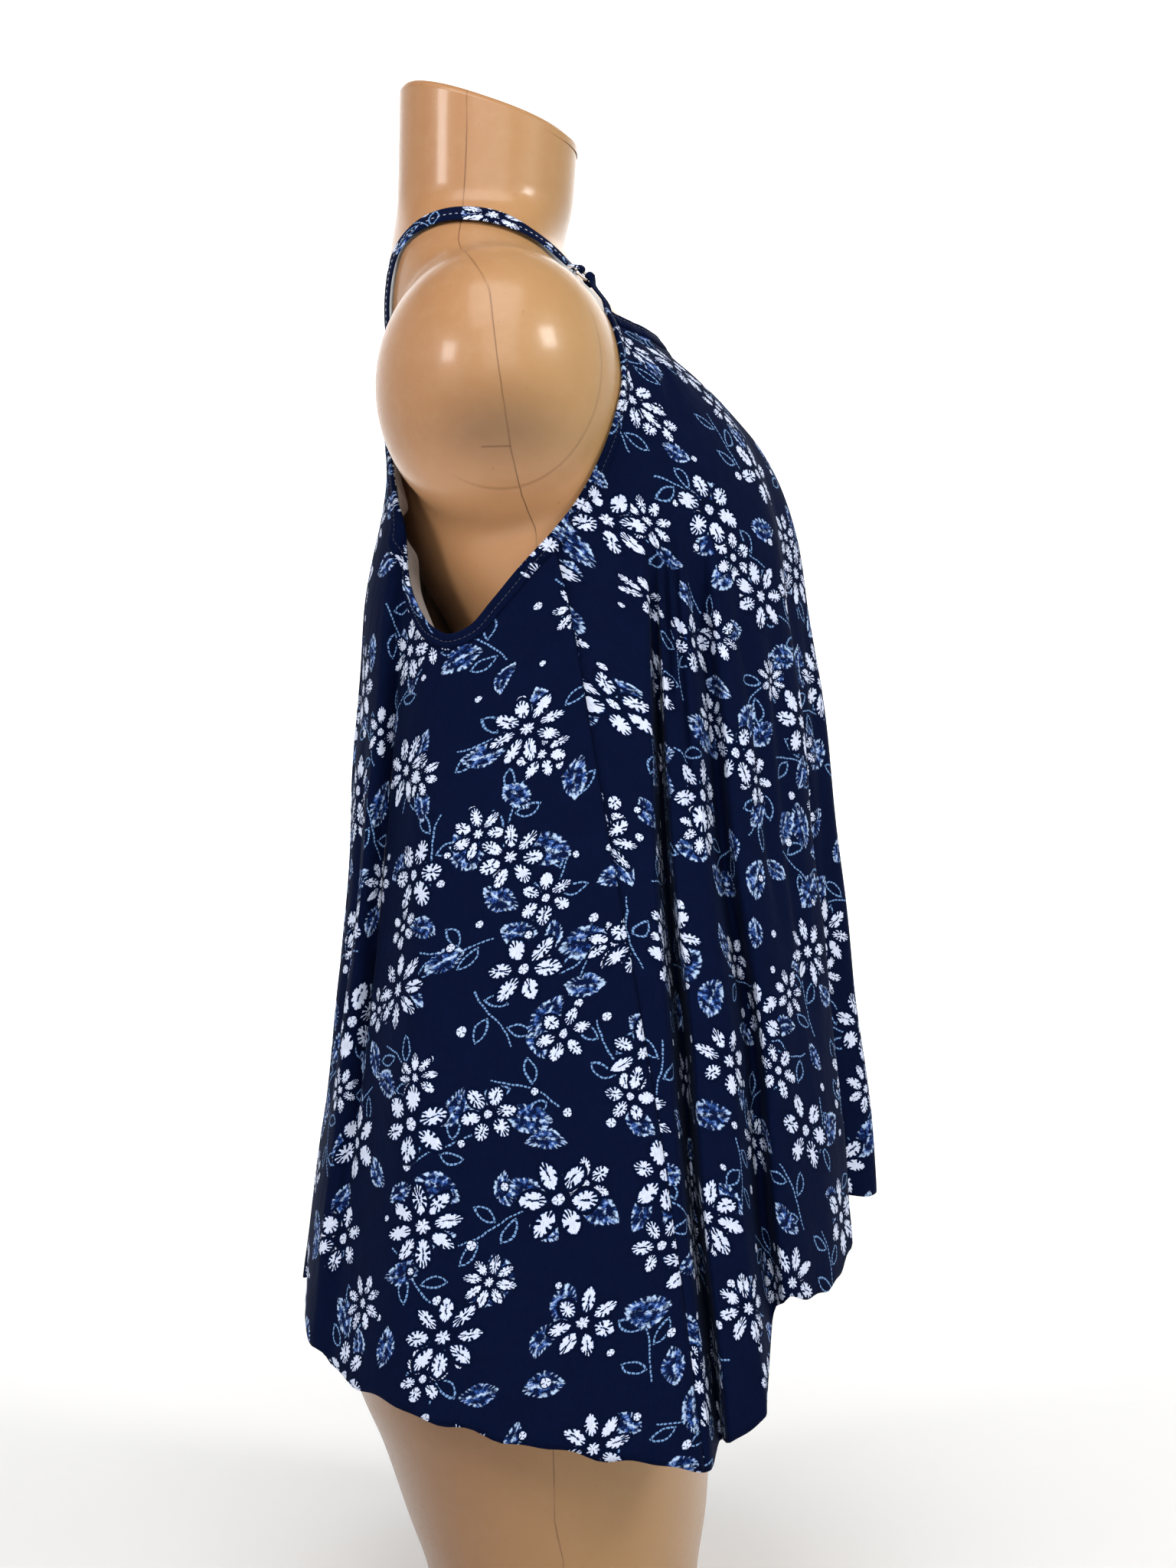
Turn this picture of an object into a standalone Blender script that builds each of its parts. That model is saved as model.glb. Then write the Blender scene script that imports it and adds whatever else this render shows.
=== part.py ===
"""A sleeveless swing top with narrow shoulder straps, on a limbless dress form.

Metres, +Z up. The wearer's front is -Y and the wearer's right is -X. The dress form stands on z = 0
with its base centred on the origin. Angles go round the upright axis from the centre front (0 degrees)
over the side (90) to the centre back (180), once for the right half and once for the left.
"""

import math

import bpy
import numpy as np

# ---------------------------------------------------------------- driving dimensions

CLOTH = 0.0012            # wall of the jersey
SEAM_GAP = 0.0003         # between pieces that are sewn together
BAND_LIFT = 0.0005        # from a panel's face to the band that lies on it
BODY_GAP = 0.0030         # from the dress form to the outer face of the cloth, at least
ARM_BAND = 0.0085         # width of the armhole bands
NECK_BAND = 0.0120        # width of the neck bands
MM = 0.001

# The dress form: half width, front and back reach at each height.
FORM = (
    # height, half_width, front, back
    (0.000, 0.150, 0.080, 0.078),
    (0.040, 0.156, 0.082, 0.081),
    (0.085, 0.163, 0.088, 0.096),
    (0.125, 0.170, 0.090, 0.110),
    (0.160, 0.175, 0.092, 0.125),
    (0.200, 0.178, 0.093, 0.133),
    (0.250, 0.176, 0.095, 0.131),
    (0.300, 0.168, 0.097, 0.119),
    (0.350, 0.155, 0.099, 0.101),
    (0.400, 0.140, 0.100, 0.083),
    (0.450, 0.127, 0.100, 0.068),
    (0.500, 0.120, 0.099, 0.058),
    (0.550, 0.126, 0.098, 0.056),
    (0.600, 0.137, 0.103, 0.065),
    (0.640, 0.139, 0.119, 0.086),
    (0.680, 0.138, 0.124, 0.100),
    (0.705, 0.137, 0.117, 0.103),
    (0.740, 0.134, 0.092, 0.104),
    (0.770, 0.130, 0.063, 0.105),
    (0.800, 0.123, 0.034, 0.1075),
    (0.825, 0.105, 0.011, 0.1065),
    (0.845, 0.076, 0.001, 0.1045),
    (0.870, 0.055, 0.006, 0.1015),
    (0.927, 0.053, 0.009, 0.100),
)
FORM_ROUNDNESS = 2.3
SHOULDER = dict(across=0.115, behind=0.0357, height=0.742, half_width=0.078, half_depth=0.0706,
                half_height=0.081)
SHOULDER_BLEND = 0.012
NECK_SLANT_FROM = 0.870   # the cut neck leans from this height up
NECK_SLANT = 0.335        # rise of the neck's top per metre towards the back
FORM_EDGE = 0.003         # rounding of the base
NECK_EDGE = 0.008         # rounding of the cut neck
FORM_SIDES = 44

# The hanging cloth without its folds: half width and reach at each height.
DRAPE = (
    # height, half_width_front, half_width_back, front, back
    (0.150, 0.240, 0.240, 0.198, 0.162),
    (0.215, 0.228, 0.228, 0.194, 0.156),
    (0.280, 0.214, 0.214, 0.1905, 0.149),
    (0.340, 0.202, 0.202, 0.1855, 0.141),
    (0.400, 0.190, 0.190, 0.178, 0.135),
    (0.460, 0.178, 0.178, 0.1715, 0.130),
    (0.530, 0.165, 0.165, 0.1635, 0.1265),
    (0.580, 0.157, 0.157, 0.157, 0.1235),
    (0.620, 0.151, 0.152, 0.1505, 0.1205),
    (0.655, 0.146, 0.151, 0.145, 0.1145),
    (0.685, 0.140, 0.151, 0.137, 0.1085),
    (0.705, 0.137, 0.149, 0.129, 0.1065),
    (0.722, 0.136, 0.147, 0.119, 0.1065),
    (0.737, 0.134, 0.147, 0.1060, 0.1070),
    (0.750, 0.131, 0.145, 0.0945, 0.1070),
    (0.762, 0.127, 0.142, 0.0805, 0.1070),
    (0.772, 0.119, 0.139, 0.0670, 0.1070),
    (0.784, 0.105, 0.135, 0.0590, 0.1070),
    (0.794, 0.092, 0.125, 0.0490, 0.1070),
)
FRONT_ROUNDNESS = 2.2
BACK_ROUNDNESS = 3.0

# Lines that run down the cloth, along its ridges and valleys. Angles in degrees and stand-off from the
# drape in millimetres, each at the heights in LEVELS; hem is the height where the line ends.
LEVELS = (0.160, 0.420, 0.655, 0.720, 0.795)
FRONT_LINES = (
    # name, angles, stand_offs, hem
    ("centre front", (0.0, 0.0, 0.0, 0.0, 0.0), (-3, -2, 0, 0, 0), 0.271),
    ("first flute", (15.0, 14.0, 13.0, 13.0, 14.0), (0, 0, 0, 0, 0), 0.271),
    ("first valley", (25.0, 24.0, 24.0, 25.0, 28.0), (-34, -18, -5, -2, -1), 0.268),
    ("second flute, front", (32.0, 31.0, 33.0, 35.0, 40.0), (-10, -4, 0, 0, 0), 0.246),
    ("second flute", (44.0, 44.0, 45.0, 46.0, 49.0), (-3, -3, -1, -1, 0), 0.229),
    ("second flute, back", (55.0, 55.0, 56.0, 57.0, 58.0), (0, 0, 0, 0, 0), 0.231),
    ("second valley", (58.0, 58.5, 59.5, 60.5, 61.5), (-40, -30, -15, -8, -2), 0.224),
    ("near flute, front", (60.8, 62.5, 62.5, 63.0, 64.5), (1, 0, -1, 0, 0), 0.174),
    ("near flute, back", (64.8, 67.4, 66.5, 67.0, 68.0), (1, 0, -1, 0, 0), 0.159),
    ("main valley", (67.0, 71.0, 69.5, 69.6, 70.2), (-50, -42, -24, -13, -3), 0.153),
    ("main valley, lip", (68.7, 74.4, 72.3, 72.0, 72.2), (0, -1, -1, -1, 0), 0.149),
)
BACK_LINES = (
    ("side, front", (84.0, 90.0, 101.0, 101.0, 101.0), (0, 0, 0, 0, 0), 0.158),
    ("side", (97.0, 101.0, 108.0, 108.0, 108.0), (-1, -2, -1, 0, 0), 0.166),
    ("side, back", (110.0, 114.0, 117.0, 117.0, 117.0), (0, 0, 0, 0, 0), 0.180),
    ("third valley", (124.0, 126.0, 126.0, 126.0, 126.0), (-12, -26, -12, 0, 0), 0.193),
    ("back flute, edge", (131.0, 131.5, 131.5, 131.5, 131.5), (1, 2, 0, 0, 0), 0.204),
    ("back flute", (143.0, 143.0, 143.0, 143.0, 143.0), (0, 0, 0, 0, 0), 0.219),
    ("fourth valley", (157.0, 157.0, 157.0, 157.0, 157.0), (-20, -13, -4, -1, 0), 0.221),
    ("back ridge", (168.0, 168.0, 168.0, 168.0, 168.0), (0, 0, 0, 0, 0), 0.220),
    ("centre back", (180.0, 180.0, 180.0, 180.0, 180.0), (-8, -5, -2, 0, 0), 0.218),
)
LEFT_TURN = 1.6           # degrees by which the left half's lines wander from the right half's
LEFT_DEPTH = 0.82         # depth of the left half's folds against the right half's, on average
LEFT_SPREAD = 0.16        # and how unevenly that is shared out

# The side seam up to the armhole, then the armhole's front edge up to the strap: angle at each height.
SEAM_TOP = 0.655
SEAM = (
    (0.149, 70.9), (0.300, 73.8), (0.422, 78.0), (0.487, 81.0), (0.537, 83.5), (0.614, 88.0), (0.655, 92.0),
)
ARMHOLE_FRONT = ((0.655, 92.0), (0.673, 86.5), (0.691, 82.5), (0.720, 78.0), (0.750, 75.2), (0.794, 75.7))
SEAM_HEM = 0.149
# The armhole's lower and back edge and the back neckline: height at each angle.
BACK_TOP = (
    # angle, height
    (92.0, 0.655), (98.6, 0.636), (104.0, 0.618), (109.0, 0.6025), (113.0, 0.5985), (117.0, 0.603),
    (121.0, 0.616), (124.6, 0.636), (127.5, 0.658), (132.0, 0.680), (138.5, 0.702), (145.5, 0.724),
    (153.0, 0.748), (160.0, 0.749), (168.0, 0.744), (180.0, 0.741),
)
# The front neckline: height at each share of the way from the centre (0) to the strap (1).
NECKLINE = ((0.0, 0.7823), (0.35, 0.7825), (0.65, 0.7835), (0.85, 0.7860), (1.0, 0.790))
LEFT_ARMHOLE = (0.016, 113.0, 16.0)   # the left armhole's rise, the angle of its middle and its spread

FRONT_STEPS = 2           # columns between two lines of the front
BACK_STEPS = 3
LOW_ROWS = 18             # rows from the hem up to the band
HIGH_ROWS = 9             # rows of the front from the seam's top to the neck band
STEEPEST_BAND = 2.2       # most that a band's height may grow where the back's edge is steep
SEAM_BAND = 0.0125        # height of the armhole band where it crosses the seam

STRAP_WIDTH = 0.015
STRAP_COLUMNS = 2                  # an even number
STRAP_ROWS = 26
STRAP_CENTRE = (0.040, 0.740)      # y and z of the point that the strap is swung round
STRAP_SWING = (8.0, 119.0)         # degrees up from the back, at its two ends
STRAP_ACROSS = ((0.0, 0.045), (0.5, 0.066), (1.0, 0.080))   # distance from the middle along its length
STRAP_LIFT = 0.0028                # from the form to the middle of the strap's wall
STRAP_EASE = 0.045                 # length over which the strap leaves the back panel for the form

RING_WIRE = 0.0010                 # radius of the ring's wire
RING_HALF = (0.0040, 0.0085)       # half its length along the strap and half its width, to the wire's middle
RING_CORNER = 0.0025
RING_SHARE = 1.06                  # where the ring lies, as a share of the strap's path
WIRE_SIDES = 8
RING_LIFT = 0.0040                 # from the form to the ring's middle plane
LOOP_GAP = 0.00035                 # between the wire and the cloth folded round it
TAB_WIDTH = 0.012
TAB_LIFT = 0.0034                  # from the form to the middle of the tab's wall, between ring and corner
TAIL = 0.004                       # length of cloth turned under behind a loop
SIDE_NAMES = {-1: "right", 1: "left"}

# ---------------------------------------------------------------- numbers


def smooth(x, table, column=1):
    """Reads a column of a table at x along a smooth curve that never overshoots its points."""
    xs = np.array([row[0] for row in table], float)
    ys = np.array([row[column] for row in table], float)
    x = np.clip(np.asarray(x, float), xs[0], xs[-1])
    gap = np.diff(xs)
    slope = np.diff(ys) / gap
    tangent = np.zeros_like(ys)
    tangent[0], tangent[-1] = slope[0], slope[-1]
    for i in range(1, len(xs) - 1):
        if slope[i - 1] * slope[i] > 0:
            a, b = 2 * gap[i] + gap[i - 1], gap[i] + 2 * gap[i - 1]
            tangent[i] = (a + b) / (a / slope[i - 1] + b / slope[i])
    i = np.clip(np.searchsorted(xs, x) - 1, 0, len(gap) - 1)
    t = (x - xs[i]) / gap[i]
    rise = (2 * t ** 3 - 3 * t ** 2 + 1) * ys[i] + (3 * t ** 2 - 2 * t ** 3) * ys[i + 1]
    return rise + gap[i] * ((t ** 3 - 2 * t ** 2 + t) * tangent[i] + (t ** 3 - t ** 2) * tangent[i + 1])


def ease(t):
    t = np.clip(t, 0.0, 1.0)
    return t * t * (3 - 2 * t)


def soft_max(a, b, blend):
    """The larger of two values, rounded where they are within blend of each other."""
    h = np.maximum(blend - np.abs(a - b), 0.0) / blend
    return np.maximum(a, b) + h * h * blend / 4


def unit(v):
    return v / np.maximum(np.linalg.norm(v, axis=-1, keepdims=True), 1e-12)


# ---------------------------------------------------------------- the dress form's surface


def form_field(x, y, z):
    """Below 0 inside the dress form, above 0 outside, roughly in metres near its skin."""
    half = smooth(z, FORM, 1)
    front, back = smooth(z, FORM, 2), smooth(z, FORM, 3)
    middle, depth = (back - front) / 2, (back + front) / 2
    n = FORM_ROUNDNESS
    trunk = ((np.abs(x) / half) ** n + (np.abs(y - middle) / depth) ** n) ** (1 / n) - 1
    trunk = trunk * np.minimum(half, depth)
    s = SHOULDER
    cap = np.sqrt(((np.abs(x) - s["across"]) / s["half_width"]) ** 2
                  + ((y - s["behind"]) / s["half_depth"]) ** 2
                  + ((z - s["height"]) / s["half_height"]) ** 2) - 1
    cap = cap * s["half_depth"]
    return -soft_max(-trunk, -cap, SHOULDER_BLEND)


def form_reach(origin, direction, start=0.34, step=0.004):
    """Distance from each origin along each direction to the form's skin, found from the outside in."""
    origin, direction = np.broadcast_arrays(origin, direction)
    reach = np.full(origin.shape[:-1], 0.0)
    found = np.zeros(reach.shape, bool)
    for r in np.arange(start, 0.0, -step):
        p = origin + direction * r
        inside = (form_field(p[..., 0], p[..., 1], p[..., 2]) < 0) & ~found
        reach = np.where(inside, r, reach)
        found |= inside
    low, high = reach, reach + step
    for _ in range(14):
        mid = (low + high) / 2
        p = origin + direction * mid[..., None]
        inside = form_field(p[..., 0], p[..., 1], p[..., 2]) < 0
        low, high = np.where(inside, mid, low), np.where(inside, high, mid)
    return low


def heading(angle, side):
    """Level direction at an angle in degrees from the front, on the right (-1) or left (+1)."""
    a = np.radians(angle)
    return np.stack([side * np.sin(a), -np.cos(a), np.zeros_like(a)], -1)


def form_envelope():
    """The form's reach round the axis, widened by one cell each way, on a grid of angle and height."""
    angles, heights = np.arange(0.0, 181.0, 2.5), np.arange(0.10, 0.806, 0.005)
    a, z = np.meshgrid(angles, heights)
    origin = np.stack([0 * z, 0 * z, z], -1)
    reach = form_reach(origin, heading(a, -1))
    wide = reach.copy()
    wide[:, 1:] = np.maximum(wide[:, 1:], reach[:, :-1])
    wide[:, :-1] = np.maximum(wide[:, :-1], reach[:, 1:])
    tall = wide.copy()
    tall[1:] = np.maximum(tall[1:], wide[:-1])
    tall[:-1] = np.maximum(tall[:-1], wide[1:])
    return angles, heights, tall


ENVELOPE = form_envelope()


def form_outside(angle, z):
    """The widened reach at any angle and height, between the grid's four nearest values."""
    angles, heights, reach = ENVELOPE
    a = np.clip(np.abs(angle), angles[0], angles[-1]) / (angles[1] - angles[0])
    h = (np.clip(z, heights[0], heights[-1]) - heights[0]) / (heights[1] - heights[0])
    i = np.minimum(a.astype(int), len(angles) - 2)
    j = np.minimum(h.astype(int), len(heights) - 2)
    fa, fh = a - i, h - j
    low = reach[j, i] * (1 - fa) + reach[j, i + 1] * fa
    high = reach[j + 1, i] * (1 - fa) + reach[j + 1, i + 1] * fa
    return low * (1 - fh) + high * fh


# ---------------------------------------------------------------- the cloth's surface


def seam_angle(z):
    """The side seam, and above it the front edge of the armhole."""
    return np.where(z < SEAM_TOP, smooth(z, SEAM), smooth(z, ARMHOLE_FRONT))


def cloth_lines(side):
    """The lines of one half in order: name, angle at a height, stand-off at a height, hem height."""
    lines = []
    rows = list(FRONT_LINES) + [("seam", None, (0, 0, 0, 0, 0), SEAM_HEM)] + list(BACK_LINES)
    for k, (name, angles, stand_offs, hem) in enumerate(rows):
        fixed = name in ("centre front", "seam", "centre back")
        turn = 0.0 if fixed or side < 0 else LEFT_TURN
        depth = 1.0 if fixed or side < 0 else LEFT_DEPTH + LEFT_SPREAD * math.sin(1.7 * k + 1)
        offset = tuple((level, value * MM * depth) for level, value in zip(LEVELS, stand_offs))
        table = None if angles is None else tuple(
            (level, a + turn * math.sin(math.radians(5 * a))) for level, a in zip(LEVELS, angles))
        lines.append((name, table, offset, hem))
    return lines


LINES = {-1: cloth_lines(-1), 1: cloth_lines(1)}
SEAM_INDEX = len(FRONT_LINES)


def line_at(side, k, z):
    """Angle and stand-off of one line at a height."""
    _, angles, offsets, _ = LINES[side][k]
    angle = seam_angle(z) if angles is None else smooth(z, angles)
    return angle, smooth(z, offsets)


def drape_reach(angle, z, offset):
    """Distance of the cloth's outer face from the axis."""
    s, c = np.abs(np.sin(np.radians(angle))), np.abs(np.cos(np.radians(angle)))
    front = ((s / smooth(z, DRAPE, 1)) ** FRONT_ROUNDNESS
             + (c / smooth(z, DRAPE, 3)) ** FRONT_ROUNDNESS) ** (-1 / FRONT_ROUNDNESS)
    back = ((s / smooth(z, DRAPE, 2)) ** BACK_ROUNDNESS
            + (c / smooth(z, DRAPE, 4)) ** BACK_ROUNDNESS) ** (-1 / BACK_ROUNDNESS)
    behind = ease((angle - 80) / 30)
    reach = front * (1 - behind) + back * behind
    return soft_max(reach + offset, form_outside(angle, z) + BODY_GAP, 0.004)


def cloth_point(side, k, t, z):
    """A point of the outer face: share t of the way from line k to line k + 1, at height z."""
    a0, o0 = line_at(side, k, z)
    a1, o1 = line_at(side, k + 1, z)
    angle = a0 + (a1 - a0) * t
    reach = drape_reach(angle, z, o0 + (o1 - o0) * ease(t))
    return heading(angle, side) * reach[..., None] + np.stack([0 * z, 0 * z, z], -1)


def angle_between(side, k, t, z):
    a0, a1 = line_at(side, k, z)[0], line_at(side, k + 1, z)[0]
    return a0 + (a1 - a0) * t


def hem_height(side, k, t):
    return LINES[side][k][3] * (1 - t) + LINES[side][k + 1][3] * t


# ---------------------------------------------------------------- meshes


def material(name, colour, roughness, metallic=0.0):
    mat = bpy.data.materials.get(name) or bpy.data.materials.new(name)
    mat.use_nodes = True
    shader = mat.node_tree.nodes["Principled BSDF"]
    shader.inputs["Base Color"].default_value = (*colour, 1.0)
    shader.inputs["Roughness"].default_value = roughness
    shader.inputs["Metallic"].default_value = metallic
    return mat


def add_object(name, points, faces, mat):
    mesh = bpy.data.meshes.new(name)
    mesh.from_pydata([tuple(p) for p in points], [], faces)
    mesh.shade_smooth()
    mesh.set_sharp_from_angle(angle=math.radians(40))
    mesh.materials.append(mat)
    obj = bpy.data.objects.new(name, mesh)
    bpy.context.collection.objects.link(obj)
    return obj


def grid_normals(grid):
    """Unit normals of a grid of points, rows by columns."""
    along = np.gradient(grid, axis=1)
    up = np.gradient(grid, axis=0)
    return unit(np.cross(along, up))


def outward_normals(grid, centre):
    normals = grid_normals(grid)
    return normals if np.sum(normals * (grid - centre)) > 0 else -normals


def wall(name, grid, normals, inner_lift, outer_lift, mat):
    """A closed wall between two copies of a grid, moved along these normals.

    Each cell is split along its shorter diagonal, so walls made from the same points stay parallel.
    """
    if np.sum(grid_normals(grid) * normals) < 0:
        grid, normals = grid[:, ::-1], normals[:, ::-1]
    rows, cols = grid.shape[:2]
    outer = (grid + normals * outer_lift).reshape(-1, 3)
    inner = (grid + normals * inner_lift).reshape(-1, 3)
    size = rows * cols
    faces = []
    for r in range(rows - 1):
        for c in range(cols - 1):
            a, b = r * cols + c, r * cols + c + 1
            d, e = a + cols, b + cols
            rising = np.linalg.norm(grid[r + 1, c + 1] - grid[r, c])
            falling = np.linalg.norm(grid[r + 1, c] - grid[r, c + 1])
            for f, g, h in ((a, b, e), (a, e, d)) if rising < falling else ((a, b, d), (b, e, d)):
                faces.append((f, g, h))
                faces.append((size + h, size + g, size + f))
    rim = [c for c in range(cols)] + [r * cols + cols - 1 for r in range(1, rows)]
    rim += [(rows - 1) * cols + c for c in range(cols - 2, -1, -1)] + [r * cols for r in range(rows - 2, 0, -1)]
    for a, b in zip(rim, rim[1:] + rim[:1]):
        faces.append((b, a, size + a, size + b))
    return add_object(name, np.concatenate([outer, inner]), faces, mat)


# ---------------------------------------------------------------- the panels


def band_share(side, k, t, z, width):
    """Share of the way from the edge line to its neighbour that a band of this width covers."""
    gap = np.linalg.norm(cloth_point(side, k, t, z) - cloth_point(side, k + 1, t, z), axis=-1)
    return np.minimum(width / np.maximum(gap, 1e-6), 0.6)


def rows_up(low, high, band):
    """Heights of a column from the hem, with the last step as high as the band."""
    return np.concatenate([np.linspace(low, high - band, LOW_ROWS), [high]])


def neckline_height(angle):
    return smooth(np.abs(angle) / smooth(0.79, ARMHOLE_FRONT), NECKLINE)


def front_column(side, k, t, edge=False):
    """One column of the front from the hem to the neckline; the edge column keeps to seam and armhole."""
    top = float(neckline_height(angle_between(side, k, t, 0.79)))
    low = rows_up(hem_height(side, k, t), SEAM_TOP, SEAM_BAND)
    z = np.concatenate([low, np.linspace(SEAM_TOP, top - NECK_BAND, HIGH_ROWS + 1)[1:], [top]])
    if edge:
        share = 1 - band_share(side, k, 0.5, z, ARM_BAND) * (1.0 - t)
        return cloth_point(side, k, share, z)
    return cloth_point(side, k, np.full_like(z, t), z)


def front_half(side):
    """Columns from the centre out to the seam, the last two an armhole band apart."""
    last = SEAM_INDEX - 1
    columns = [front_column(side, k, s / FRONT_STEPS) for k in range(last) for s in range(FRONT_STEPS)]
    columns.append(front_column(side, last, 0.0))
    columns.append(front_column(side, last, 0.0, edge=True))
    columns.append(front_column(side, last, 1.0, edge=True))
    return columns


def front_grid():
    right, left = front_half(-1), front_half(1)
    return np.stack(right[::-1] + left[1:], axis=1)


def back_edge(side, angle):
    """Height of the armhole and the back neckline; the left armhole has ridden up a little."""
    rise, middle, spread = LEFT_ARMHOLE
    bump = np.exp(-((angle - middle) / spread) ** 2) * ease((angle - BACK_TOP[0][0]) / spread)
    return smooth(angle, BACK_TOP) + (bump * rise if side > 0 else 0.0)


def back_top(side, k, t):
    """Height at which a column of the back meets its upper edge."""
    z = SEAM_TOP
    for _ in range(30):
        z = 0.5 * z + 0.5 * float(back_edge(side, angle_between(side, k, t, np.array(z))))
    return z


def back_column(side, k, t):
    top = back_top(side, k, t)
    step = 0.6
    angle = float(angle_between(side, k, t, np.array(top)))
    rise = float(back_edge(side, angle + step) - back_edge(side, angle - step))
    run = 2 * math.radians(step) * float(drape_reach(np.array(angle), np.array(top), 0.0))
    width = ARM_BAND if angle < BACK_TOP[-4][0] else NECK_BAND
    band = width * min(math.hypot(1.0, rise / run), STEEPEST_BAND)
    z = rows_up(hem_height(side, k, t), top, band)
    return cloth_point(side, k, np.full_like(z, t), z)


def seam_column(side):
    """The back's first column: the front's seam, moved back by the seam gap."""
    z = rows_up(hem_height(side, SEAM_INDEX, 0.0), SEAM_TOP, SEAM_BAND)
    edge = cloth_point(side, SEAM_INDEX, np.zeros_like(z), z)
    beside = cloth_point(side, SEAM_INDEX, np.full_like(z, 0.05), z)
    return edge + unit(beside - edge) * SEAM_GAP


def back_half(side):
    """Columns from the seam round to the centre back."""
    lines = range(SEAM_INDEX, len(LINES[side]) - 1)
    columns = [back_column(side, k, s / BACK_STEPS) for k in lines for s in range(BACK_STEPS)]
    columns[0] = seam_column(side)
    columns.append(back_column(side, lines[-1], 1.0))
    return columns


def back_grid():
    right, left = back_half(-1), back_half(1)
    return np.stack(right[:-1] + left[::-1], axis=1)


# ---------------------------------------------------------------- bands


def half_of(grid, side):
    """A panel's columns in order from the seam on one side."""
    return grid if side < 0 else grid[:, ::-1]


def strap_columns(back):
    """First and last column of a back half, counted from its seam, that lie under the strap."""
    angle = np.degrees(np.arctan2(np.abs(back[-1, :, 0]), -back[-1, :, 1]))
    half = back.shape[1] // 2 + 1
    return [int(np.argmin(np.abs(angle[:half] - BACK_TOP[i][0]))) for i in (-4, -3)]


def panel_normals(front, back):
    """Outward normals of both panels, the same along the two sides of a seam."""
    middle = np.array([0.0, 0.0, 0.4])
    front_normals, back_normals = outward_normals(front, middle), outward_normals(back, middle)
    rows = slice(0, LOW_ROWS + 1)
    for column in (0, -1):
        shared = unit(front_normals[rows, column] + back_normals[:, column])
        front_normals[rows, column] = shared
        back_normals[:, column] = shared
    return front_normals, back_normals


def armhole_band(side, front, back, count):
    """Edge and inner line of one armhole's band, from the front strap down and up to the back strap."""
    f, b = half_of(front, side), half_of(back, side)
    stations = [(f[r, 0], f[r, 1]) for r in range(f.shape[0] - 1, LOW_ROWS, -1)]
    stations.append((f[LOW_ROWS, 0], (f[LOW_ROWS, 1] + b[-2, 0]) / 2))
    stations += [(b[-1, c], b[-2, c]) for c in range(2, count + 1)]
    return np.array(stations)


def neck_band(panel, skip):
    """The panel's top two rows, without the columns at each end that the armhole bands cover."""
    return panel[-2:, skip:panel.shape[1] - skip].transpose(1, 0, 2)


def shortened(grid, gap):
    """A band's grid, its first and last stations drawn in to leave a gap to the next piece."""
    grid = grid.copy()
    grid[0] += unit(grid[1] - grid[0]) * gap
    grid[-1] += unit(grid[-2] - grid[-1]) * gap
    return grid


# ---------------------------------------------------------------- building


def build_form(mat):
    """Rings about the form's own middle, closed by a flat base and a flat slanted neck."""
    levels = np.concatenate([np.linspace(0.0, 0.62, 19), np.linspace(0.645, 0.86, 18),
                             np.linspace(0.875, FORM[-1][0], 4)])
    rings = []
    a = np.linspace(0.0, 360.0, FORM_SIDES, endpoint=False)
    direction = np.stack([np.sin(np.radians(a)), -np.cos(np.radians(a)), 0 * a], -1)
    for z in levels:
        front, back = float(smooth(z, FORM, 2)), float(smooth(z, FORM, 3))
        centre = np.array([0.0, (back - front) / 2, z])
        reach = form_reach(np.tile(centre, (FORM_SIDES, 1)), direction)
        rings.append((centre, reach))
    points = []

    def add_ring(centre, reach, inset, lift):
        ring = centre + direction * (reach - inset)[:, None]
        lean = np.clip((centre[2] - NECK_SLANT_FROM) / (levels[-1] - NECK_SLANT_FROM), 0.0, 1.0)
        ring[:, 2] += lift + NECK_SLANT * lean * (ring[:, 1] - centre[1])
        points.extend(ring)

    add_ring(*rings[0], FORM_EDGE, 0.0)
    add_ring(*rings[0], 0.0, FORM_EDGE)
    for centre, reach in rings[1:-1]:
        add_ring(centre, reach, 0.0, 0.0)
    for turn in np.radians([0.0, 30.0, 60.0, 90.0]):
        add_ring(*rings[-1], NECK_EDGE * (1 - math.cos(turn)), NECK_EDGE * (math.sin(turn) - 1))
    n = FORM_SIDES
    count = len(points) // n
    faces = [tuple(range(n))[::-1], tuple((count - 1) * n + i for i in range(n))]
    for r in range(count - 1):
        for i in range(n):
            j = (i + 1) % n
            faces.append((r * n + i, r * n + j, (r + 1) * n + j, (r + 1) * n + i))
    return add_object("dress_form", points, faces, mat)


# ---------------------------------------------------------------- straps, loops and rings


def strap_frame(side, share):
    """Point, run, across and outward directions of the strap's path on the form, at a share of its length."""
    def at(s):
        swing = math.radians(STRAP_SWING[0] + (STRAP_SWING[1] - STRAP_SWING[0]) * s)
        origin = np.array([side * float(smooth(s, STRAP_ACROSS)), *STRAP_CENTRE])
        ray = np.array([0.0, math.cos(swing), math.sin(swing)])
        return origin + ray * float(form_reach(origin, ray, start=0.2, step=0.002))
    p = at(share)
    run = unit(at(share + 0.01) - at(share - 0.01))
    skin = np.array([form_field(*(p + d)) - form_field(*(p - d)) for d in np.eye(3) * 2 * MM])
    out = unit(skin - run * np.dot(skin, run))
    return p, run, unit(np.cross(out, run)) * -side, out


def on_form(point, out, lift):
    """A point moved along the outward direction until it lies this high above the form."""
    deep = point - out * 0.03
    return deep + out * (float(form_reach(deep, out, start=0.06, step=MM)) + lift)


def across_points(point, across, width):
    return [point + across * (width * s) for s in np.linspace(-0.5, 0.5, STRAP_COLUMNS + 1)]


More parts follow.
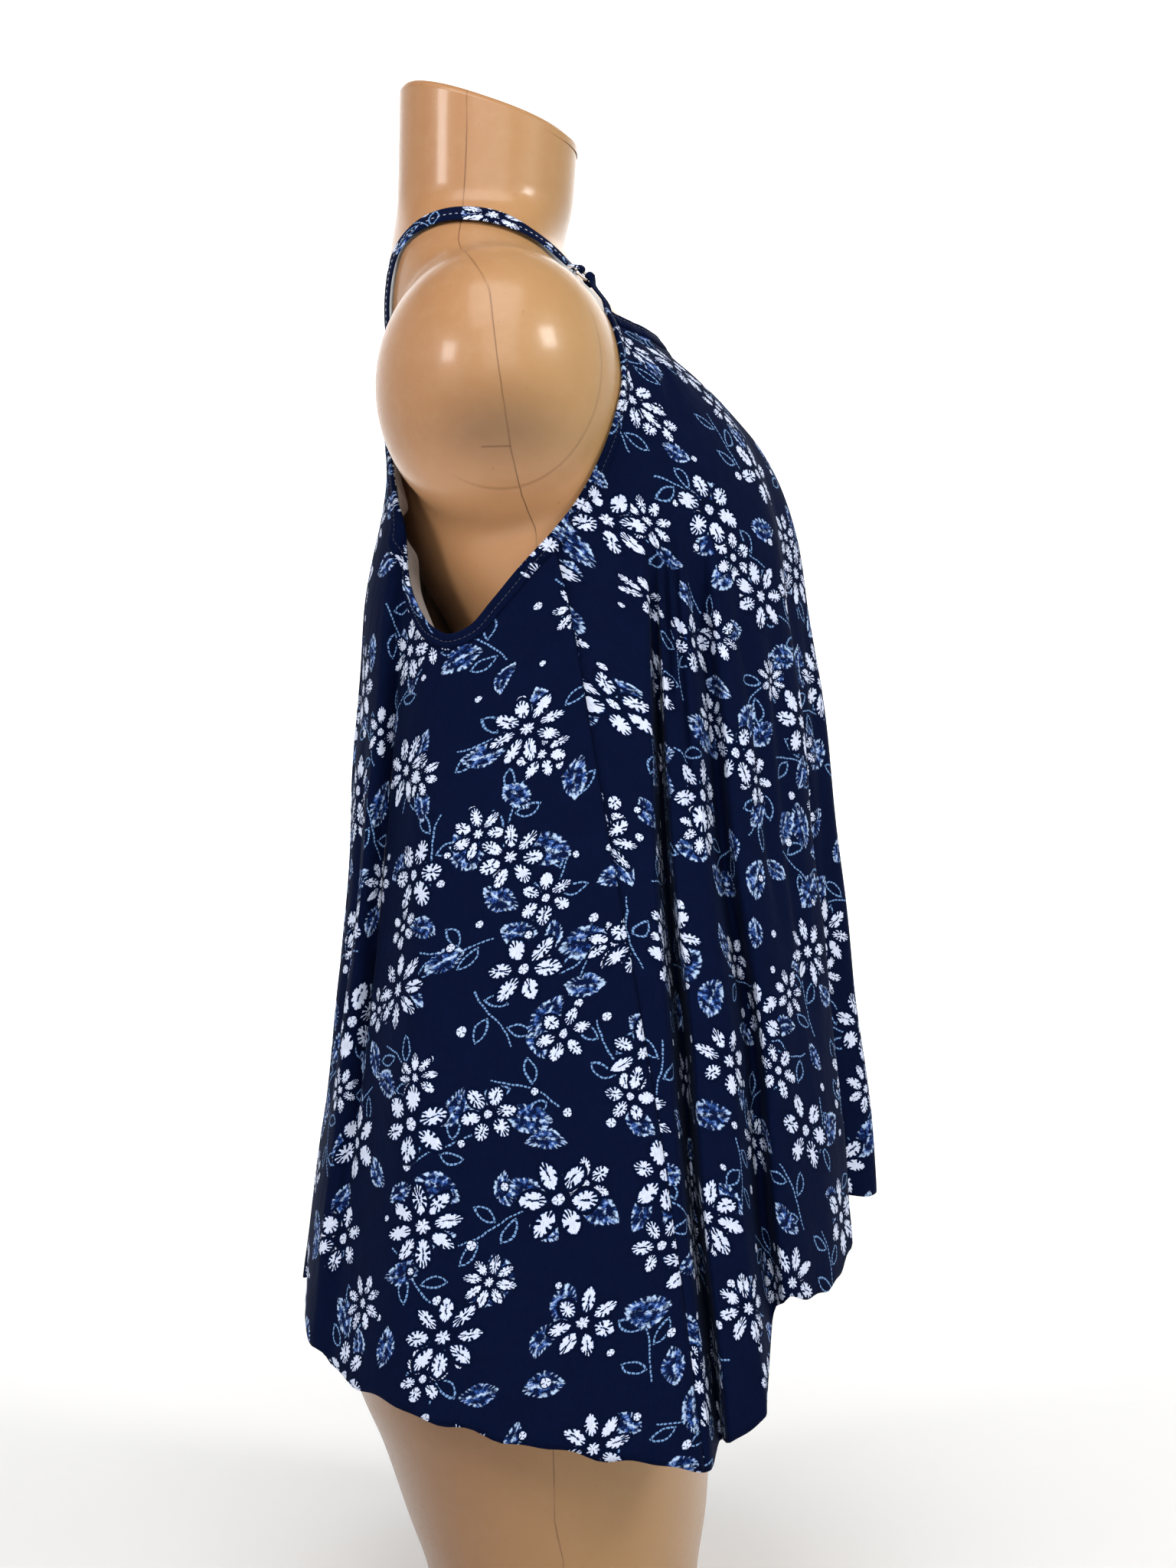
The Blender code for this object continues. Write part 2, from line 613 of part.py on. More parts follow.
def loop(bar, run, out, toward):
    """Middle line of cloth folded round a bar: over it from one side, and back under it."""
    radius = RING_WIRE + LOOP_GAP + CLOTH / 2
    turn = [bar + run * (toward * radius * math.cos(a)) + out * (radius * math.sin(a))
            for a in np.linspace(math.pi / 2, -math.pi / 2, 7)]
    return turn + [turn[-1] - run * toward * TAIL]


def strap_grid(side, back):
    """The strap's middle surface, from the back panel's top edge over the shoulder and round its ring."""
    b = half_of(back, side)
    first, last = strap_columns(b)
    foot = np.array([b[-1, first], (b[-1, first] + b[-1, last]) / 2, b[-1, last]])
    foot = foot + np.array([0.0, 0.0, 2 * SEAM_GAP])
    rows = [foot]
    length, previous = 0.0, foot[1]
    for share in np.linspace(0.0, 1.0, STRAP_ROWS):
        p, run, across, out = strap_frame(side, share)
        row = np.array([on_form(q, out, STRAP_LIFT) for q in across_points(p, across, STRAP_WIDTH)])
        if share < 0.5 and row[1, 2] < foot[1, 2] + STRAP_WIDTH / 3:
            continue
        length += np.linalg.norm(row[1] - previous)
        previous = row[1]
        raised = foot * np.array([1, 1, 0]) + row * np.array([0, 0, 1])
        leave = ease(length / STRAP_EASE)
        rows.append(raised * (1 - leave) + row * leave)
    origin, run, across, out = ring_frame(side)
    for p in loop(origin + out * RING_LIFT - run * RING_HALF[0], run, out, 1):
        rows.append(np.array(across_points(p, across, TAB_WIDTH)))
    return np.array(rows)


def ring_frame(side):
    """Where the ring lies: a point of the form's skin, the strap's run there, across and outwards."""
    p, run, across, out = strap_frame(side, RING_SHARE)
    return on_form(p, out, 0.0), run, across, out


def tab_grid(side, front):
    """The tab's middle surface: round the ring's lower bar and down to the front's corner."""
    f = half_of(front, side)
    origin, run, across, out = ring_frame(side)
    path = loop(origin + out * RING_LIFT + run * RING_HALF[0], run, out, -1)
    rows = [np.array(across_points(p, across, TAB_WIDTH)) for p in path[::-1]]
    corner = f[-1, :3]
    corner = np.array([corner[0], (corner[0] + corner[2]) / 2, corner[2]])
    corner = corner + unit(rows[-1] - corner) * 2 * SEAM_GAP
    start = rows[-1]
    for share in (0.3, 0.6):
        row = start + (corner - start) * share
        rows.append(np.array([on_form(q, out, TAB_LIFT) for q in row]))
    rows.append(corner)
    return np.array(rows)


def build_ring(side, mat):
    """Oblong ring of wire with round corners, flat on the shoulder between strap and tab."""
    origin, run, across, out = ring_frame(side)
    centre = origin + out * RING_LIFT
    path = []
    for q, (sx, sy) in enumerate(((1, 1), (1, -1), (-1, -1), (-1, 1))):
        for s in range(4):
            a = math.radians(90 - 90 * q - 30 * s)
            path.append((sx * (RING_HALF[0] - RING_CORNER) + RING_CORNER * math.cos(a),
                         sy * (RING_HALF[1] - RING_CORNER) + RING_CORNER * math.sin(a)))
    path = np.array(path)
    count = len(path)
    points, faces = [], []
    for i in range(count):
        t = unit(path[(i + 1) % count] - path[i - 1])
        inward = np.array([t[1], -t[0]])
        for j in range(WIRE_SIDES):
            a = 2 * math.pi * j / WIRE_SIDES
            flat = path[i] + inward * (RING_WIRE * math.cos(a))
            points.append(centre + run * flat[0] + across * flat[1] + out * (RING_WIRE * math.sin(a)))
    for i in range(count):
        for j in range(WIRE_SIDES):
            a, b = i * WIRE_SIDES + j, i * WIRE_SIDES + (j + 1) % WIRE_SIDES
            c, d = ((i + 1) % count) * WIRE_SIDES + j, ((i + 1) % count) * WIRE_SIDES + (j + 1) % WIRE_SIDES
            faces.append((a, b, d, c))
    handed = np.dot(np.cross(run, across), out)
    if handed > 0:
        faces = [face[::-1] for face in faces]
    return add_object("ring_" + SIDE_NAMES[side], points, faces, mat)


def main():
    for obj in list(bpy.data.objects):
        bpy.data.objects.remove(obj)
    jersey = material("printed_jersey", (0.012, 0.020, 0.085), 0.75)
    trim = material("jersey_band", (0.010, 0.016, 0.070), 0.75)
    metal = material("ring_metal", (0.72, 0.72, 0.74), 0.25, 1.0)
    plastic = material("form_plastic", (0.58, 0.36, 0.22), 0.35)
    build_form(plastic)
    front, back = front_grid(), back_grid()
    front_out, back_out = panel_normals(front, back)
    wall("front", front, front_out, -CLOTH, 0.0, jersey)
    wall("back", back, back_out, -CLOTH, 0.0, jersey)
    lift = (BAND_LIFT, BAND_LIFT + CLOTH)
    foot = strap_columns(back)[0]
    for word, panel, out, skip in (("front", front, front_out, 1), ("back", back, back_out, foot)):
        band = shortened(neck_band(panel, skip), 2 * SEAM_GAP)
        wall("neck_band_" + word, band, neck_band(out, skip), *lift, trim)
    for side, word in SIDE_NAMES.items():
        band = shortened(armhole_band(side, front, back, foot), SEAM_GAP)
        wall("armhole_band_" + word, band, unit(armhole_band(side, front_out, back_out, foot)), *lift, trim)
        centre = np.array([0, *STRAP_CENTRE])
        for name, grid in (("strap_", strap_grid(side, back)), ("tab_", tab_grid(side, front))):
            wall(name + word, grid, outward_normals(grid, centre), -CLOTH / 2, CLOTH / 2, trim)
        build_ring(side, metal)


main()
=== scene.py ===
"""Looks of a sleeveless swing top with narrow shoulder straps, on a limbless dress form.

Metres, +Z up. The wearer's front is -Y and the wearer's right is -X. An angle goes round the upright axis
in degrees from the centre front (0) over the side (90) to the centre back (180); it is negative on the
wearer's right and positive on the wearer's left.
"""
import math

import bpy
import numpy as np
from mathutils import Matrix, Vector


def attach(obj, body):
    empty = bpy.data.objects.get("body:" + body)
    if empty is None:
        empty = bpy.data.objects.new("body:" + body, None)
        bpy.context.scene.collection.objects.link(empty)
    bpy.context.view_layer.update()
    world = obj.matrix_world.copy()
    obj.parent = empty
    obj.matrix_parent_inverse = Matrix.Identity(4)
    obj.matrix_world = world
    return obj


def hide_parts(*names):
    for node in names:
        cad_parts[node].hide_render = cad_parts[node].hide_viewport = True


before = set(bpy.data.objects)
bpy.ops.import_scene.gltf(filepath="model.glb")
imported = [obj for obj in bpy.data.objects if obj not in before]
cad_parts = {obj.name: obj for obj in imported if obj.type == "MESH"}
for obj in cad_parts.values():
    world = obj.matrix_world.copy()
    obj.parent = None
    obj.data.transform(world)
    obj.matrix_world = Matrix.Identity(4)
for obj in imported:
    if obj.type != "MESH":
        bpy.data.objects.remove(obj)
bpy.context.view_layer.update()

# ---------------------------------------------------------------- driving dimensions

CLOTH = 0.0012            # wall of the jersey
SEAM_GAP = 0.0003         # between the back's edge and the strap sewn to it
BAND_LIFT = 0.0005        # from a panel's face to the band that lies on it
BODY_GAP = 0.0030         # from the form to the cloth's outer face along a level ray, at least
ARM_BAND = 0.0085         # width of the armhole bands
NECK_BAND = 0.0120        # width of the neck bands
MM = 0.001

# The dress form: half width, front and back reach at each height.
FORM = (
    # height, half_width, front, back
    (0.000, 0.150, 0.080, 0.078),
    (0.040, 0.156, 0.082, 0.081),
    (0.085, 0.163, 0.088, 0.096),
    (0.125, 0.170, 0.090, 0.110),
    (0.160, 0.175, 0.092, 0.125),
    (0.200, 0.178, 0.093, 0.133),
    (0.250, 0.176, 0.095, 0.131),
    (0.300, 0.168, 0.097, 0.119),
    (0.350, 0.155, 0.099, 0.101),
    (0.400, 0.140, 0.100, 0.083),
    (0.450, 0.127, 0.100, 0.068),
    (0.500, 0.120, 0.099, 0.058),
    (0.550, 0.126, 0.098, 0.056),
    (0.600, 0.137, 0.103, 0.065),
    (0.640, 0.139, 0.119, 0.086),
    (0.680, 0.138, 0.124, 0.100),
    (0.705, 0.137, 0.117, 0.103),
    (0.740, 0.134, 0.092, 0.104),
    (0.770, 0.130, 0.063, 0.105),
    (0.800, 0.123, 0.034, 0.1075),
    (0.825, 0.105, 0.011, 0.1065),
    (0.845, 0.076, 0.001, 0.1045),
    (0.870, 0.055, 0.006, 0.1015),
    (0.927, 0.053, 0.009, 0.100),
)
FORM_ROUNDNESS = 2.3
SHOULDER = dict(across=0.115, behind=0.0357, height=0.742, half_width=0.078, half_depth=0.0706,
                half_height=0.081)
SHOULDER_BLEND = 0.012
NECK_SLANT_FROM = 0.870   # the cut neck leans from this height up
NECK_SLANT = 0.335        # rise of the neck's top per metre towards the back
FORM_EDGE = 0.003         # rounding of the base
NECK_EDGE = 0.008         # rounding of the cut neck

# The hanging cloth without its folds: half width and reach at each height.
DRAPE = (
    # height, half_width_front, half_width_back, front, back
    (0.150, 0.240, 0.240, 0.198, 0.162),
    (0.215, 0.228, 0.228, 0.194, 0.156),
    (0.280, 0.214, 0.214, 0.1905, 0.149),
    (0.340, 0.202, 0.202, 0.1855, 0.141),
    (0.400, 0.190, 0.190, 0.178, 0.135),
    (0.460, 0.178, 0.178, 0.1715, 0.130),
    (0.530, 0.165, 0.165, 0.1635, 0.1265),
    (0.580, 0.157, 0.157, 0.157, 0.1235),
    (0.620, 0.151, 0.152, 0.1505, 0.1205),
    (0.655, 0.146, 0.151, 0.145, 0.1145),
    (0.685, 0.140, 0.151, 0.137, 0.1085),
    (0.705, 0.137, 0.149, 0.129, 0.1065),
    (0.722, 0.136, 0.147, 0.119, 0.1065),
    (0.737, 0.134, 0.147, 0.1060, 0.1070),
    (0.750, 0.131, 0.145, 0.0945, 0.1070),
    (0.762, 0.127, 0.142, 0.0805, 0.1070),
    (0.772, 0.119, 0.139, 0.0670, 0.1070),
    (0.784, 0.105, 0.135, 0.0590, 0.1070),
    (0.794, 0.092, 0.125, 0.0490, 0.1070),
)
FRONT_ROUNDNESS = 2.2
BACK_ROUNDNESS = 3.0

# Lines that run down the cloth, along its ridges and valleys. Angles in degrees and stand-off from the
# drape in millimetres, each at the heights in LEVELS; hem is the height where the line ends.
LEVELS = (0.160, 0.420, 0.655, 0.720, 0.795)
FRONT_LINES = (
    # name, angles, stand_offs, hem
    ("centre front", (0.0, 0.0, 0.0, 0.0, 0.0), (-3, -2, 0, 0, 0), 0.271),
    ("first flute", (15.0, 14.0, 13.0, 13.0, 14.0), (0, 0, 0, 0, 0), 0.271),
    ("first valley", (25.0, 24.0, 24.0, 25.0, 28.0), (-34, -18, -5, -2, -1), 0.268),
    ("second flute, front", (32.0, 31.0, 33.0, 35.0, 40.0), (-10, -4, 0, 0, 0), 0.246),
    ("second flute", (44.0, 44.0, 45.0, 46.0, 49.0), (-3, -3, -1, -1, 0), 0.229),
    ("second flute, back", (55.0, 55.0, 56.0, 57.0, 58.0), (0, 0, 0, 0, 0), 0.231),
    ("second valley", (58.0, 58.5, 59.5, 60.5, 61.5), (-40, -30, -15, -8, -2), 0.224),
    ("near flute, front", (60.8, 62.5, 62.5, 63.0, 64.5), (1, 0, -1, 0, 0), 0.174),
    ("near flute, back", (67.4, 68.9, 69.0, 69.2, 69.4), (1, 0, -1, 0, 0), 0.159),
    ("main valley", (68.6, 70.7, 69.9, 70.1, 70.6), (-50, -46, -34, -24, -10), 0.153),
    ("main valley, lip", (69.9, 72.7, 71.0, 71.2, 71.9), (0, -1, -1, -1, 0), 0.149),
)
BACK_LINES = (
    ("side, front", (84.0, 90.0, 101.0, 101.0, 101.0), (0, 0, 0, 0, 0), 0.158),
    ("side", (97.0, 101.0, 108.0, 108.0, 108.0), (-1, -2, -1, 0, 0), 0.166),
    ("side, back", (110.0, 114.0, 117.0, 117.0, 117.0), (0, 0, 0, 0, 0), 0.180),
    ("third valley", (124.0, 126.0, 126.0, 126.0, 126.0), (-12, -26, -12, 0, 0), 0.193),
    ("back flute, edge", (131.0, 131.5, 131.5, 131.5, 131.5), (1, 2, 0, 0, 0), 0.204),
    ("back flute", (143.0, 143.0, 143.0, 143.0, 143.0), (0, 0, 0, 0, 0), 0.219),
    ("fourth valley", (157.0, 157.0, 157.0, 157.0, 157.0), (-20, -13, -4, -1, 0), 0.221),
    ("back ridge", (168.0, 168.0, 168.0, 168.0, 168.0), (0, 0, 0, 0, 0), 0.220),
    ("centre back", (180.0, 180.0, 180.0, 180.0, 180.0), (-8, -5, -2, 0, 0), 0.218),
)
LEFT_TURN = 1.6           # degrees by which the left half's lines wander from the right half's
LEFT_DEPTH = 0.82         # depth of the left half's folds against the right half's, on average
LEFT_SPREAD = 0.16        # and how unevenly that is shared out

# The side seam up to the armhole, then the armhole's front edge up to the strap: angle at each height.
SEAM_TOP = 0.655
SEAM = (
    (0.149, 70.9), (0.300, 73.8), (0.422, 78.0), (0.487, 81.0), (0.537, 83.5), (0.614, 88.0), (0.655, 92.0),
)
ARMHOLE_FRONT = ((0.655, 92.0), (0.673, 86.5), (0.691, 82.5), (0.720, 78.0), (0.750, 75.2), (0.794, 75.7))
SEAM_HEM = 0.149
# The armhole's lower and back edge and the back neckline: height at each angle.
BACK_TOP = (
    # angle, height
    (92.0, 0.655), (98.6, 0.636), (104.0, 0.618), (109.0, 0.6025), (113.0, 0.5985), (117.0, 0.603),
    (121.0, 0.616), (124.6, 0.636), (127.5, 0.658), (132.0, 0.680), (138.5, 0.702), (145.5, 0.724),
    (153.0, 0.748), (160.0, 0.749), (168.0, 0.744), (180.0, 0.741),
)
# The front neckline: height at each share of the way from the centre (0) to the strap (1).
NECKLINE = ((0.0, 0.7823), (0.35, 0.7825), (0.65, 0.7835), (0.85, 0.7860), (1.0, 0.790))
LEFT_ARMHOLE = (0.016, 113.0, 16.0)   # the left armhole's rise, the angle of its middle and its spread

STRAP_WIDTH = 0.015
STRAP_COLUMNS = 10                 # an even number
STRAP_ROWS = 90
STRAP_CENTRE = (0.040, 0.740)      # y and z of the point that the strap is swung round
STRAP_SWING = (8.0, 119.0)         # degrees up from the back, at its two ends
STRAP_ACROSS = ((0.0, 0.045), (0.5, 0.066), (1.0, 0.080))   # distance from the middle along its length
STRAP_LIFT = 0.0028                # from the form to the middle of the strap's wall
STRAP_EASE = 0.045                 # length over which the strap leaves the back panel for the form

RING_WIRE = 0.0010                 # radius of the ring's wire
RING_HALF = (0.0040, 0.0085)       # half its length along the strap and half its width, to the wire's middle
RING_CORNER = 0.0025
RING_SHARE = 1.06                  # where the ring lies, as a share of the strap's path
WIRE_SIDES = 16
RING_LIFT = 0.0040                 # from the form to the ring's middle plane
LOOP_GAP = 0.00035                 # between the wire and the cloth folded round it
TAB_WIDTH = 0.012
TAB_LIFT = 0.0034                  # from the form to the middle of the tab's wall, between ring and corner
TAIL = 0.004                       # length of cloth turned under behind a loop
SIDE_NAMES = {-1: "right", 1: "left"}

# The looks' own sizes. Lengths are in metres and turns in degrees where nothing else is said.
FULL_TURN = 2 * math.pi            # radians
SEARCH_HALVINGS = 14               # how often a found skin distance is halved
BEHIND = (80, 30)                  # degrees where the drape starts to be the back's, and over how many
WANDER_FADE = (0.50, 0.16)         # height where the folds stop straying, and over how much
WANDER_WAVES = ((0.29, 2.1, 1.0, 1.0), (0.17, -3.2, 0.6, 0.0))   # length, slope, share, shift by side
CREASE_ENDS = (0.30, 0.35)         # shares of a crease over which it begins and ends
HEM_WAVE_MIX = (0.7, 1.3)          # share and shift of the hem's second wave
RIPPLE_SIZE, RIPPLE_SEED = 0.11, 5
CURL_SIZE, CURL_SEED = 0.034, 8
PUCKER = (0.5, 0.011, 0.047)       # the seam's puckers: share and two wave lengths
BODY_TURN, BODY_STEP, BODY_BLEND = 1.5, 0.006, 0.004
NORMAL_TURN, NORMAL_STEP = 0.5, 0.0015
UP_BLUR = 8                        # degrees over which lengths up the cloth are averaged
PLACE_SAMPLES, SETTLE_ROUNDS = 4000, 40
EDGE_SAMPLES = (70, 150)           # along the armhole's front edge and its back edge
NECK_SAMPLES = 400
EDGE_TURN, EDGE_RISE = 0.2, 0.001  # steps by which slopes at an edge are measured
ALLOWANCE_COLUMNS, ALLOWANCE_LIFT = 7, (0.0012, 0.0002)   # its two faces lie this far inside the cloth
FACING_COLUMNS, FACING_TRIALS, FACING_BLUR = 9, 25, 8.0   # TRIALS: depths tried at each station
FACING_ENDS, FACING_WALL = (0.12, 0.15), 0.0006   # ENDS: shares over which it begins and ends
THIN_CLOTH = 0.0010                # wall of the cloth as shown
FRONT_CORNER = (75.7, 0.790)       # angle and height where the armhole meets the neckline
BACK_STRAP = (153.0, 160.0)        # angles between which the strap is sewn to the back
SEAM_INDEX = len(FRONT_LINES)
SEAM_GAP_TURN = 0.09               # degrees, about the seam's gap
ALLOWANCE_TURN, ALLOWANCE_TRIM = 2.2, 0.006   # half width in degrees, and how far it ends short
FACING_START, FACING_DEPTH, FACING_FREE, FACING_SHOW = 93.0, 0.009, 0.0018, 0.0050   # START in degrees
FRONT_PITCH, BACK_PITCH = 0.0035, 0.0030   # between columns
FINE_PLACE = (69.5, 6.5, 2.4)      # angle where columns lie closer, its spread, and how much closer
LOW_ROWS, HIGH_ROWS = 118, 44
PITCH_LEVELS = (0.28, 0.42, 0.60)
HEM_WAVE = 0.0011                  # the raw hem's unevenness
HEM_WAVES = (31.0, 53.0)           # how many of each wave go round
HEM_CURL, HEM_CURL_REACH = 0.0022, 0.030
WANDER, WANDER_FREE = 0.55, 7.0    # degrees
RIPPLE = 0.0009
CREASE_RADIUS = 0.18               # turns angles into distances along the cloth
SEAM_DIP, SEAM_DIP_WIDTH = 0.0009, 0.0022
ROUND_TURN, ROUND_UP = 0.32, 0.005  # degrees and metres over which folds are rounded
MAP_TURN, MAP_STEP = 0.25, 0.0025
LEAN, LEAN_START, LEAN_FULL = 1.1, 0.72, 0.84   # folds beside the body run straight in from the side
MAP_LOW, MAP_HIGH = 0.135, 0.806
BACK_PRINT_START = 1.7             # metres from the front's print to the back's on the flat cloth
CLOTH_MAP = "cloth"

# Creases laid over the folds, top to bottom: bow and width of each, and how far it stands in or out.
CREASES = (
    # name, top_angle, low_angle, top, low, bow (degrees), width (mm), depth (mm)
    ("armhole drag, first", -76.5, -79.5, 0.720, 0.530, 0.8, 4.2, -3.4),
    ("armhole drag, second", -73.2, -75.5, 0.735, 0.560, -0.4, 2.8, -3.2),
    ("gathered pleat, first", -67.0, -67.6, 0.755, 0.520, 0.3, 2.2, -7.0),
    ("gathered pleat, second", -64.3, -64.8, 0.745, 0.440, -0.3, 2.2, -6.5),
    ("gathered pleat, third", -62.0, -61.4, 0.735, 0.560, 0.4, 2.4, -5.0),
    ("gathered ridge", -65.6, -66.2, 0.750, 0.500, 0.2, 1.8, 2.2),
    ("bust drag", -57.0, -55.0, 0.730, 0.520, -1.0, 5.0, -2.0),
    ("bust fall, first", -50, -46, 0.660, 0.400, 1.2, 7.0, -4.2),
    ("bust fall, second", -38, -40, 0.640, 0.340, -1.0, 8.0, -4.2),
    ("side sag, first", -98, -104, 0.520, 0.330, 1.4, 9.0, -1.8),
    ("side sag, second", -112, -109, 0.430, 0.230, -1.2, 10.0, 1.6),
    ("side sag, third", -88, -93, 0.360, 0.200, 1.0, 9.0, -1.6),
    ("back valley", -127.6, -127.8, 0.630, 0.260, 0.3, 3.4, -7.5),
    ("back valley, edge", -130.6, -130.8, 0.680, 0.190, 0.2, 2.0, 2.6),
    ("armhole sag", -112.0, -124.0, 0.640, 0.480, 1.5, 5.0, -3.0),
    ("back fall, first", -137, -139, 0.560, 0.300, 1.0, 7.0, -4.5),
    ("back fall, second", -150, -148, 0.620, 0.230, -1.4, 9.0, 4.0),
    ("armhole drag left", 76, 78, 0.700, 0.540, -0.8, 4.2, -3.0),
    ("gathered pleat left, first", 68.0, 68.6, 0.750, 0.530, -0.3, 2.6, -4.2),
    ("gathered pleat left, second", 64.6, 64.0, 0.740, 0.500, 0.4, 2.6, -3.6),
    ("bust fall left", 42, 45, 0.650, 0.360, -1.2, 8.0, -5.0),
    ("centre fall", 6, 3, 0.620, 0.310, 1.0, 8.0, -4.5),
    ("centre fall, right", -15, -18, 0.650, 0.300, -0.8, 7.5, -4.0),
    ("centre fall, left", 21, 25, 0.590, 0.285, 0.9, 7.0, -4.2),
    ("side sag left", 101, 108, 0.500, 0.300, -1.4, 9.0, -2.0),
    ("back fall left, first", 139, 136, 0.600, 0.260, 1.2, 7.5, -5.0),
    ("back fall left, second", 165, 168, 0.640, 0.240, -1.0, 8.0, -5.0),
    ("back fall middle", -172, -176, 0.600, 0.250, 1.1, 7.0, -4.5),
    ("back fall left, third", 152, 150, 0.560, 0.220, 0.8, 6.5, -3.5),
)

BAND_EDGE = 8                      # how square a band's edges are
GROOVE_WIDTH, GROOVE_PUCKER = 0.0011, 0.35
BAND_TUCK = (0.6, 0.0001, 0.0002)  # share by which edges dip, how far the wall sinks, and its least thickness
STITCH_DEPTH = 0.6                 # share of the groove's depth at which its stitches lie
STITCH_START, STITCH_RINGS, STITCH_SIDES = 0.2, 5, 6
STITCH_ARCH = (-1.2, 0.1, 0.45, 0.1, -1.2)     # height and girth along a stitch, in thread radii
STITCH_GIRTH = (0.55, 0.95, 1.0, 0.95, 0.55)
FORM_LEVELS = ((0.0, 0.62, 110), (0.6255, 0.86, 66), (0.865, FORM[-1][0], 14))   # from, to, rings
FORM_SHARP = 50                    # degrees
STRAP_SEARCH, LIFT_SEARCH = (0.2, 0.002), (0.06, MM)   # start and step of a search for the form's skin
LIFT_DEPTH = 0.03                  # below a point: where the second search measures its distances from
STRAP_ROW, STRAP_SOFT = 0.002, 0.006
TAB_DROP, TAB_ENDS, TAB_ROWS = 0.0006, (0.25, 0.35), 11
STRIP_EDGE, STRIP_LEAST = 6, 0.02
STRAP_STITCH_LIFT = 0.42
CORNER_STEPS = 10                  # points in each round corner of the ring, 10 degrees apart
STATION = 0.0020                   # between a band's stations
BAND_COLUMNS = 15
BAND_OVERHANG = 0.0009             # by which a band turns over its edge
BAND_CLOTH = 0.0011
BAND_GROOVE = 0.0005
TOPSTITCH = 0.0048                 # from a band's edge to its stitches
STITCH_PITCH, STITCH_THREAD, STITCH_FILL = 0.0030, 0.00022, 0.72
STRAP_PITCH, STRAP_THREAD = 0.0036, 0.00028
STRAP_CLOTH = 0.0014
STRAP_SWELL, TAB_SWELL, SWELL_REACH = 2.6, 4.2, 0.0115   # the folded ends are fuller round the ring
STRAP_STITCH = 0.60                # share of the strap's width from its neck edge to its stitches
STRAP_PRINT = (3.3, 0.4)
LOOP_ROWS = 17
TAB_TURN = 4.5                     # degrees of the front's corner that the tab covers
ARM_SIDE = {-1: 1, 1: -1}          # on which side of the armhole's line its band lies
FRONT_NECK_END = 73.6
BACK_NECK_START = 161.0
SKIN_SIDES = 168

# The print. Sizes in millimetres, turns in degrees.
PETALS_LEAST = 6
FLOWER_LAYERS = (
    dict(pitch=58.0, turn=-31.0, seed=23.0, stray=20.0, size=(12.5, 16.0), chance=0.62),
    dict(pitch=67.0, turn=17.0, seed=7.0, stray=18.0, size=(18.0, 22.0), chance=0.86),
)
LEAF_LAYERS = (
    dict(pitch=38.0, turn=52.0, seed=41.0, stray=10.0, size=(9.0, 12.5), chance=0.62),
    dict(pitch=46.0, turn=-8.0, seed=67.0, stray=13.0, size=(10.5, 14.5), chance=0.66),
)
SPRIG_LAYER = dict(pitch=52.0, turn=33.0, seed=83.0, stray=10.0, chance=0.8)
SPRIG_LEAVES = ((-13.0, 48.0, 1.0), (-2.0, -50.0, -1.0), (9.0, 40.0, 1.0))   # along the stem, lean, side
BUD_LAYER = dict(pitch=27.0, turn=71.0, seed=97.0, stray=16.0, chance=0.34)
NAVY = ((0.0010, 0.0036, 0.0205), (0.0018, 0.0056, 0.0290))
KNIT_SHADE = (0.0008, 0.0018, 0.0100)
EDGE_BLUE = (0.040, 0.125, 0.420)
STEM_BLUE = (0.22, 0.40, 0.74)
LEAF_BLUES = ((0.0022, 0.0070, 0.042), (0.030, 0.105, 0.42))
LEAF_PALES = ((0.30, 0.52, 0.88), (0.64, 0.76, 0.94))
WHITES = ((0.62, 0.70, 0.90), (0.74, 0.80, 0.95))
WRONG_SIDE_COLOURS = ((0.20, 0.175, 0.160), (0.28, 0.255, 0.240), (0.12, 0.105, 0.100))
KNIT_BUMP, SOFT_BUMP = 0.00010, 0.0006
KNIT_SHEEN = dict(Specular_IOR_Level=0.03, Sheen_Weight=0.02, Sheen_Roughness=0.4,
                  Sheen_Tint=(0.45, 0.60, 1.0, 1.0))
# In the dicts below a pair whose name ends in edge, start or mottle is where a smooth step starts and ends;
# slant is a side vein's two slopes; any other pair is a least value and the range that is added to it.
CRACK = dict(jag=0.02, depth=(0.26, 0.62), width=(0.085, 0.060), thin_edge=(-0.05, 0.30),
             line_edge=(0.040, -0.030), start_edge=(0.0, 0.06))
PETAL = dict(sway=0.14, length=(0.295, 0.09), width=(0.172, 0.05), usual=7.0, middle=0.67,
             point=(1.25, 0.55), jag=0.26, edge=(1.12, 0.86), cracks=12.0, extra=2.999)
VEIN = dict(across_jag=0.30, half=0.06, side_edge=(0.09, -0.02), along_jag=0.2, reach=0.42,
            end_edge=(0.10, -0.08), chance=0.35)
HEART = dict(size=(0.155, 0.035), star_chance=0.4, jag=0.25, edge=(1.08, 0.88), pips=2.5, pip_turn=6.0,
             pip_half=0.16, pip_edge=(0.05, -0.05), pip_start=(0.25, 0.4))
PLOT = dict(petal=1.75, petal_edge=(0.10, -0.10), heart_edge=(0.36, 0.32), reach_edge=(1.14, 1.08))
LEAF = dict(width=(0.52, 0.14), bend=5.0, point=1.15, jag=0.16, edge=(1.05, 0.92), rim_jag=0.30,
            rim_edge=(0.58, 0.84), cracks=19.0, rib_jag=0.22, rib_half=0.09, rib_edge=(0.08, -0.05),
            rib_mottle=(0.44, 0.58), slant=(1.6, 3.2), side_jag=0.2, side_half=0.10, side_edge=(0.08, -0.05),
            side_mottle=(0.52, 0.66), side_share=0.6, fleck_jag=0.10, fleck_edge=(0.60, 0.72),
            fleck_share=0.8, blue_jag=0.05, blue_edge=(0.46, 0.66))
STEM = dict(wave=0.085, shift=6.0, swing=3.6, dash=2.3, dash_edge=(0.40, 0.30), half=0.40,
            side_edge=(0.22, -0.12), reach=20.0, end_edge=(0.5, -0.5))
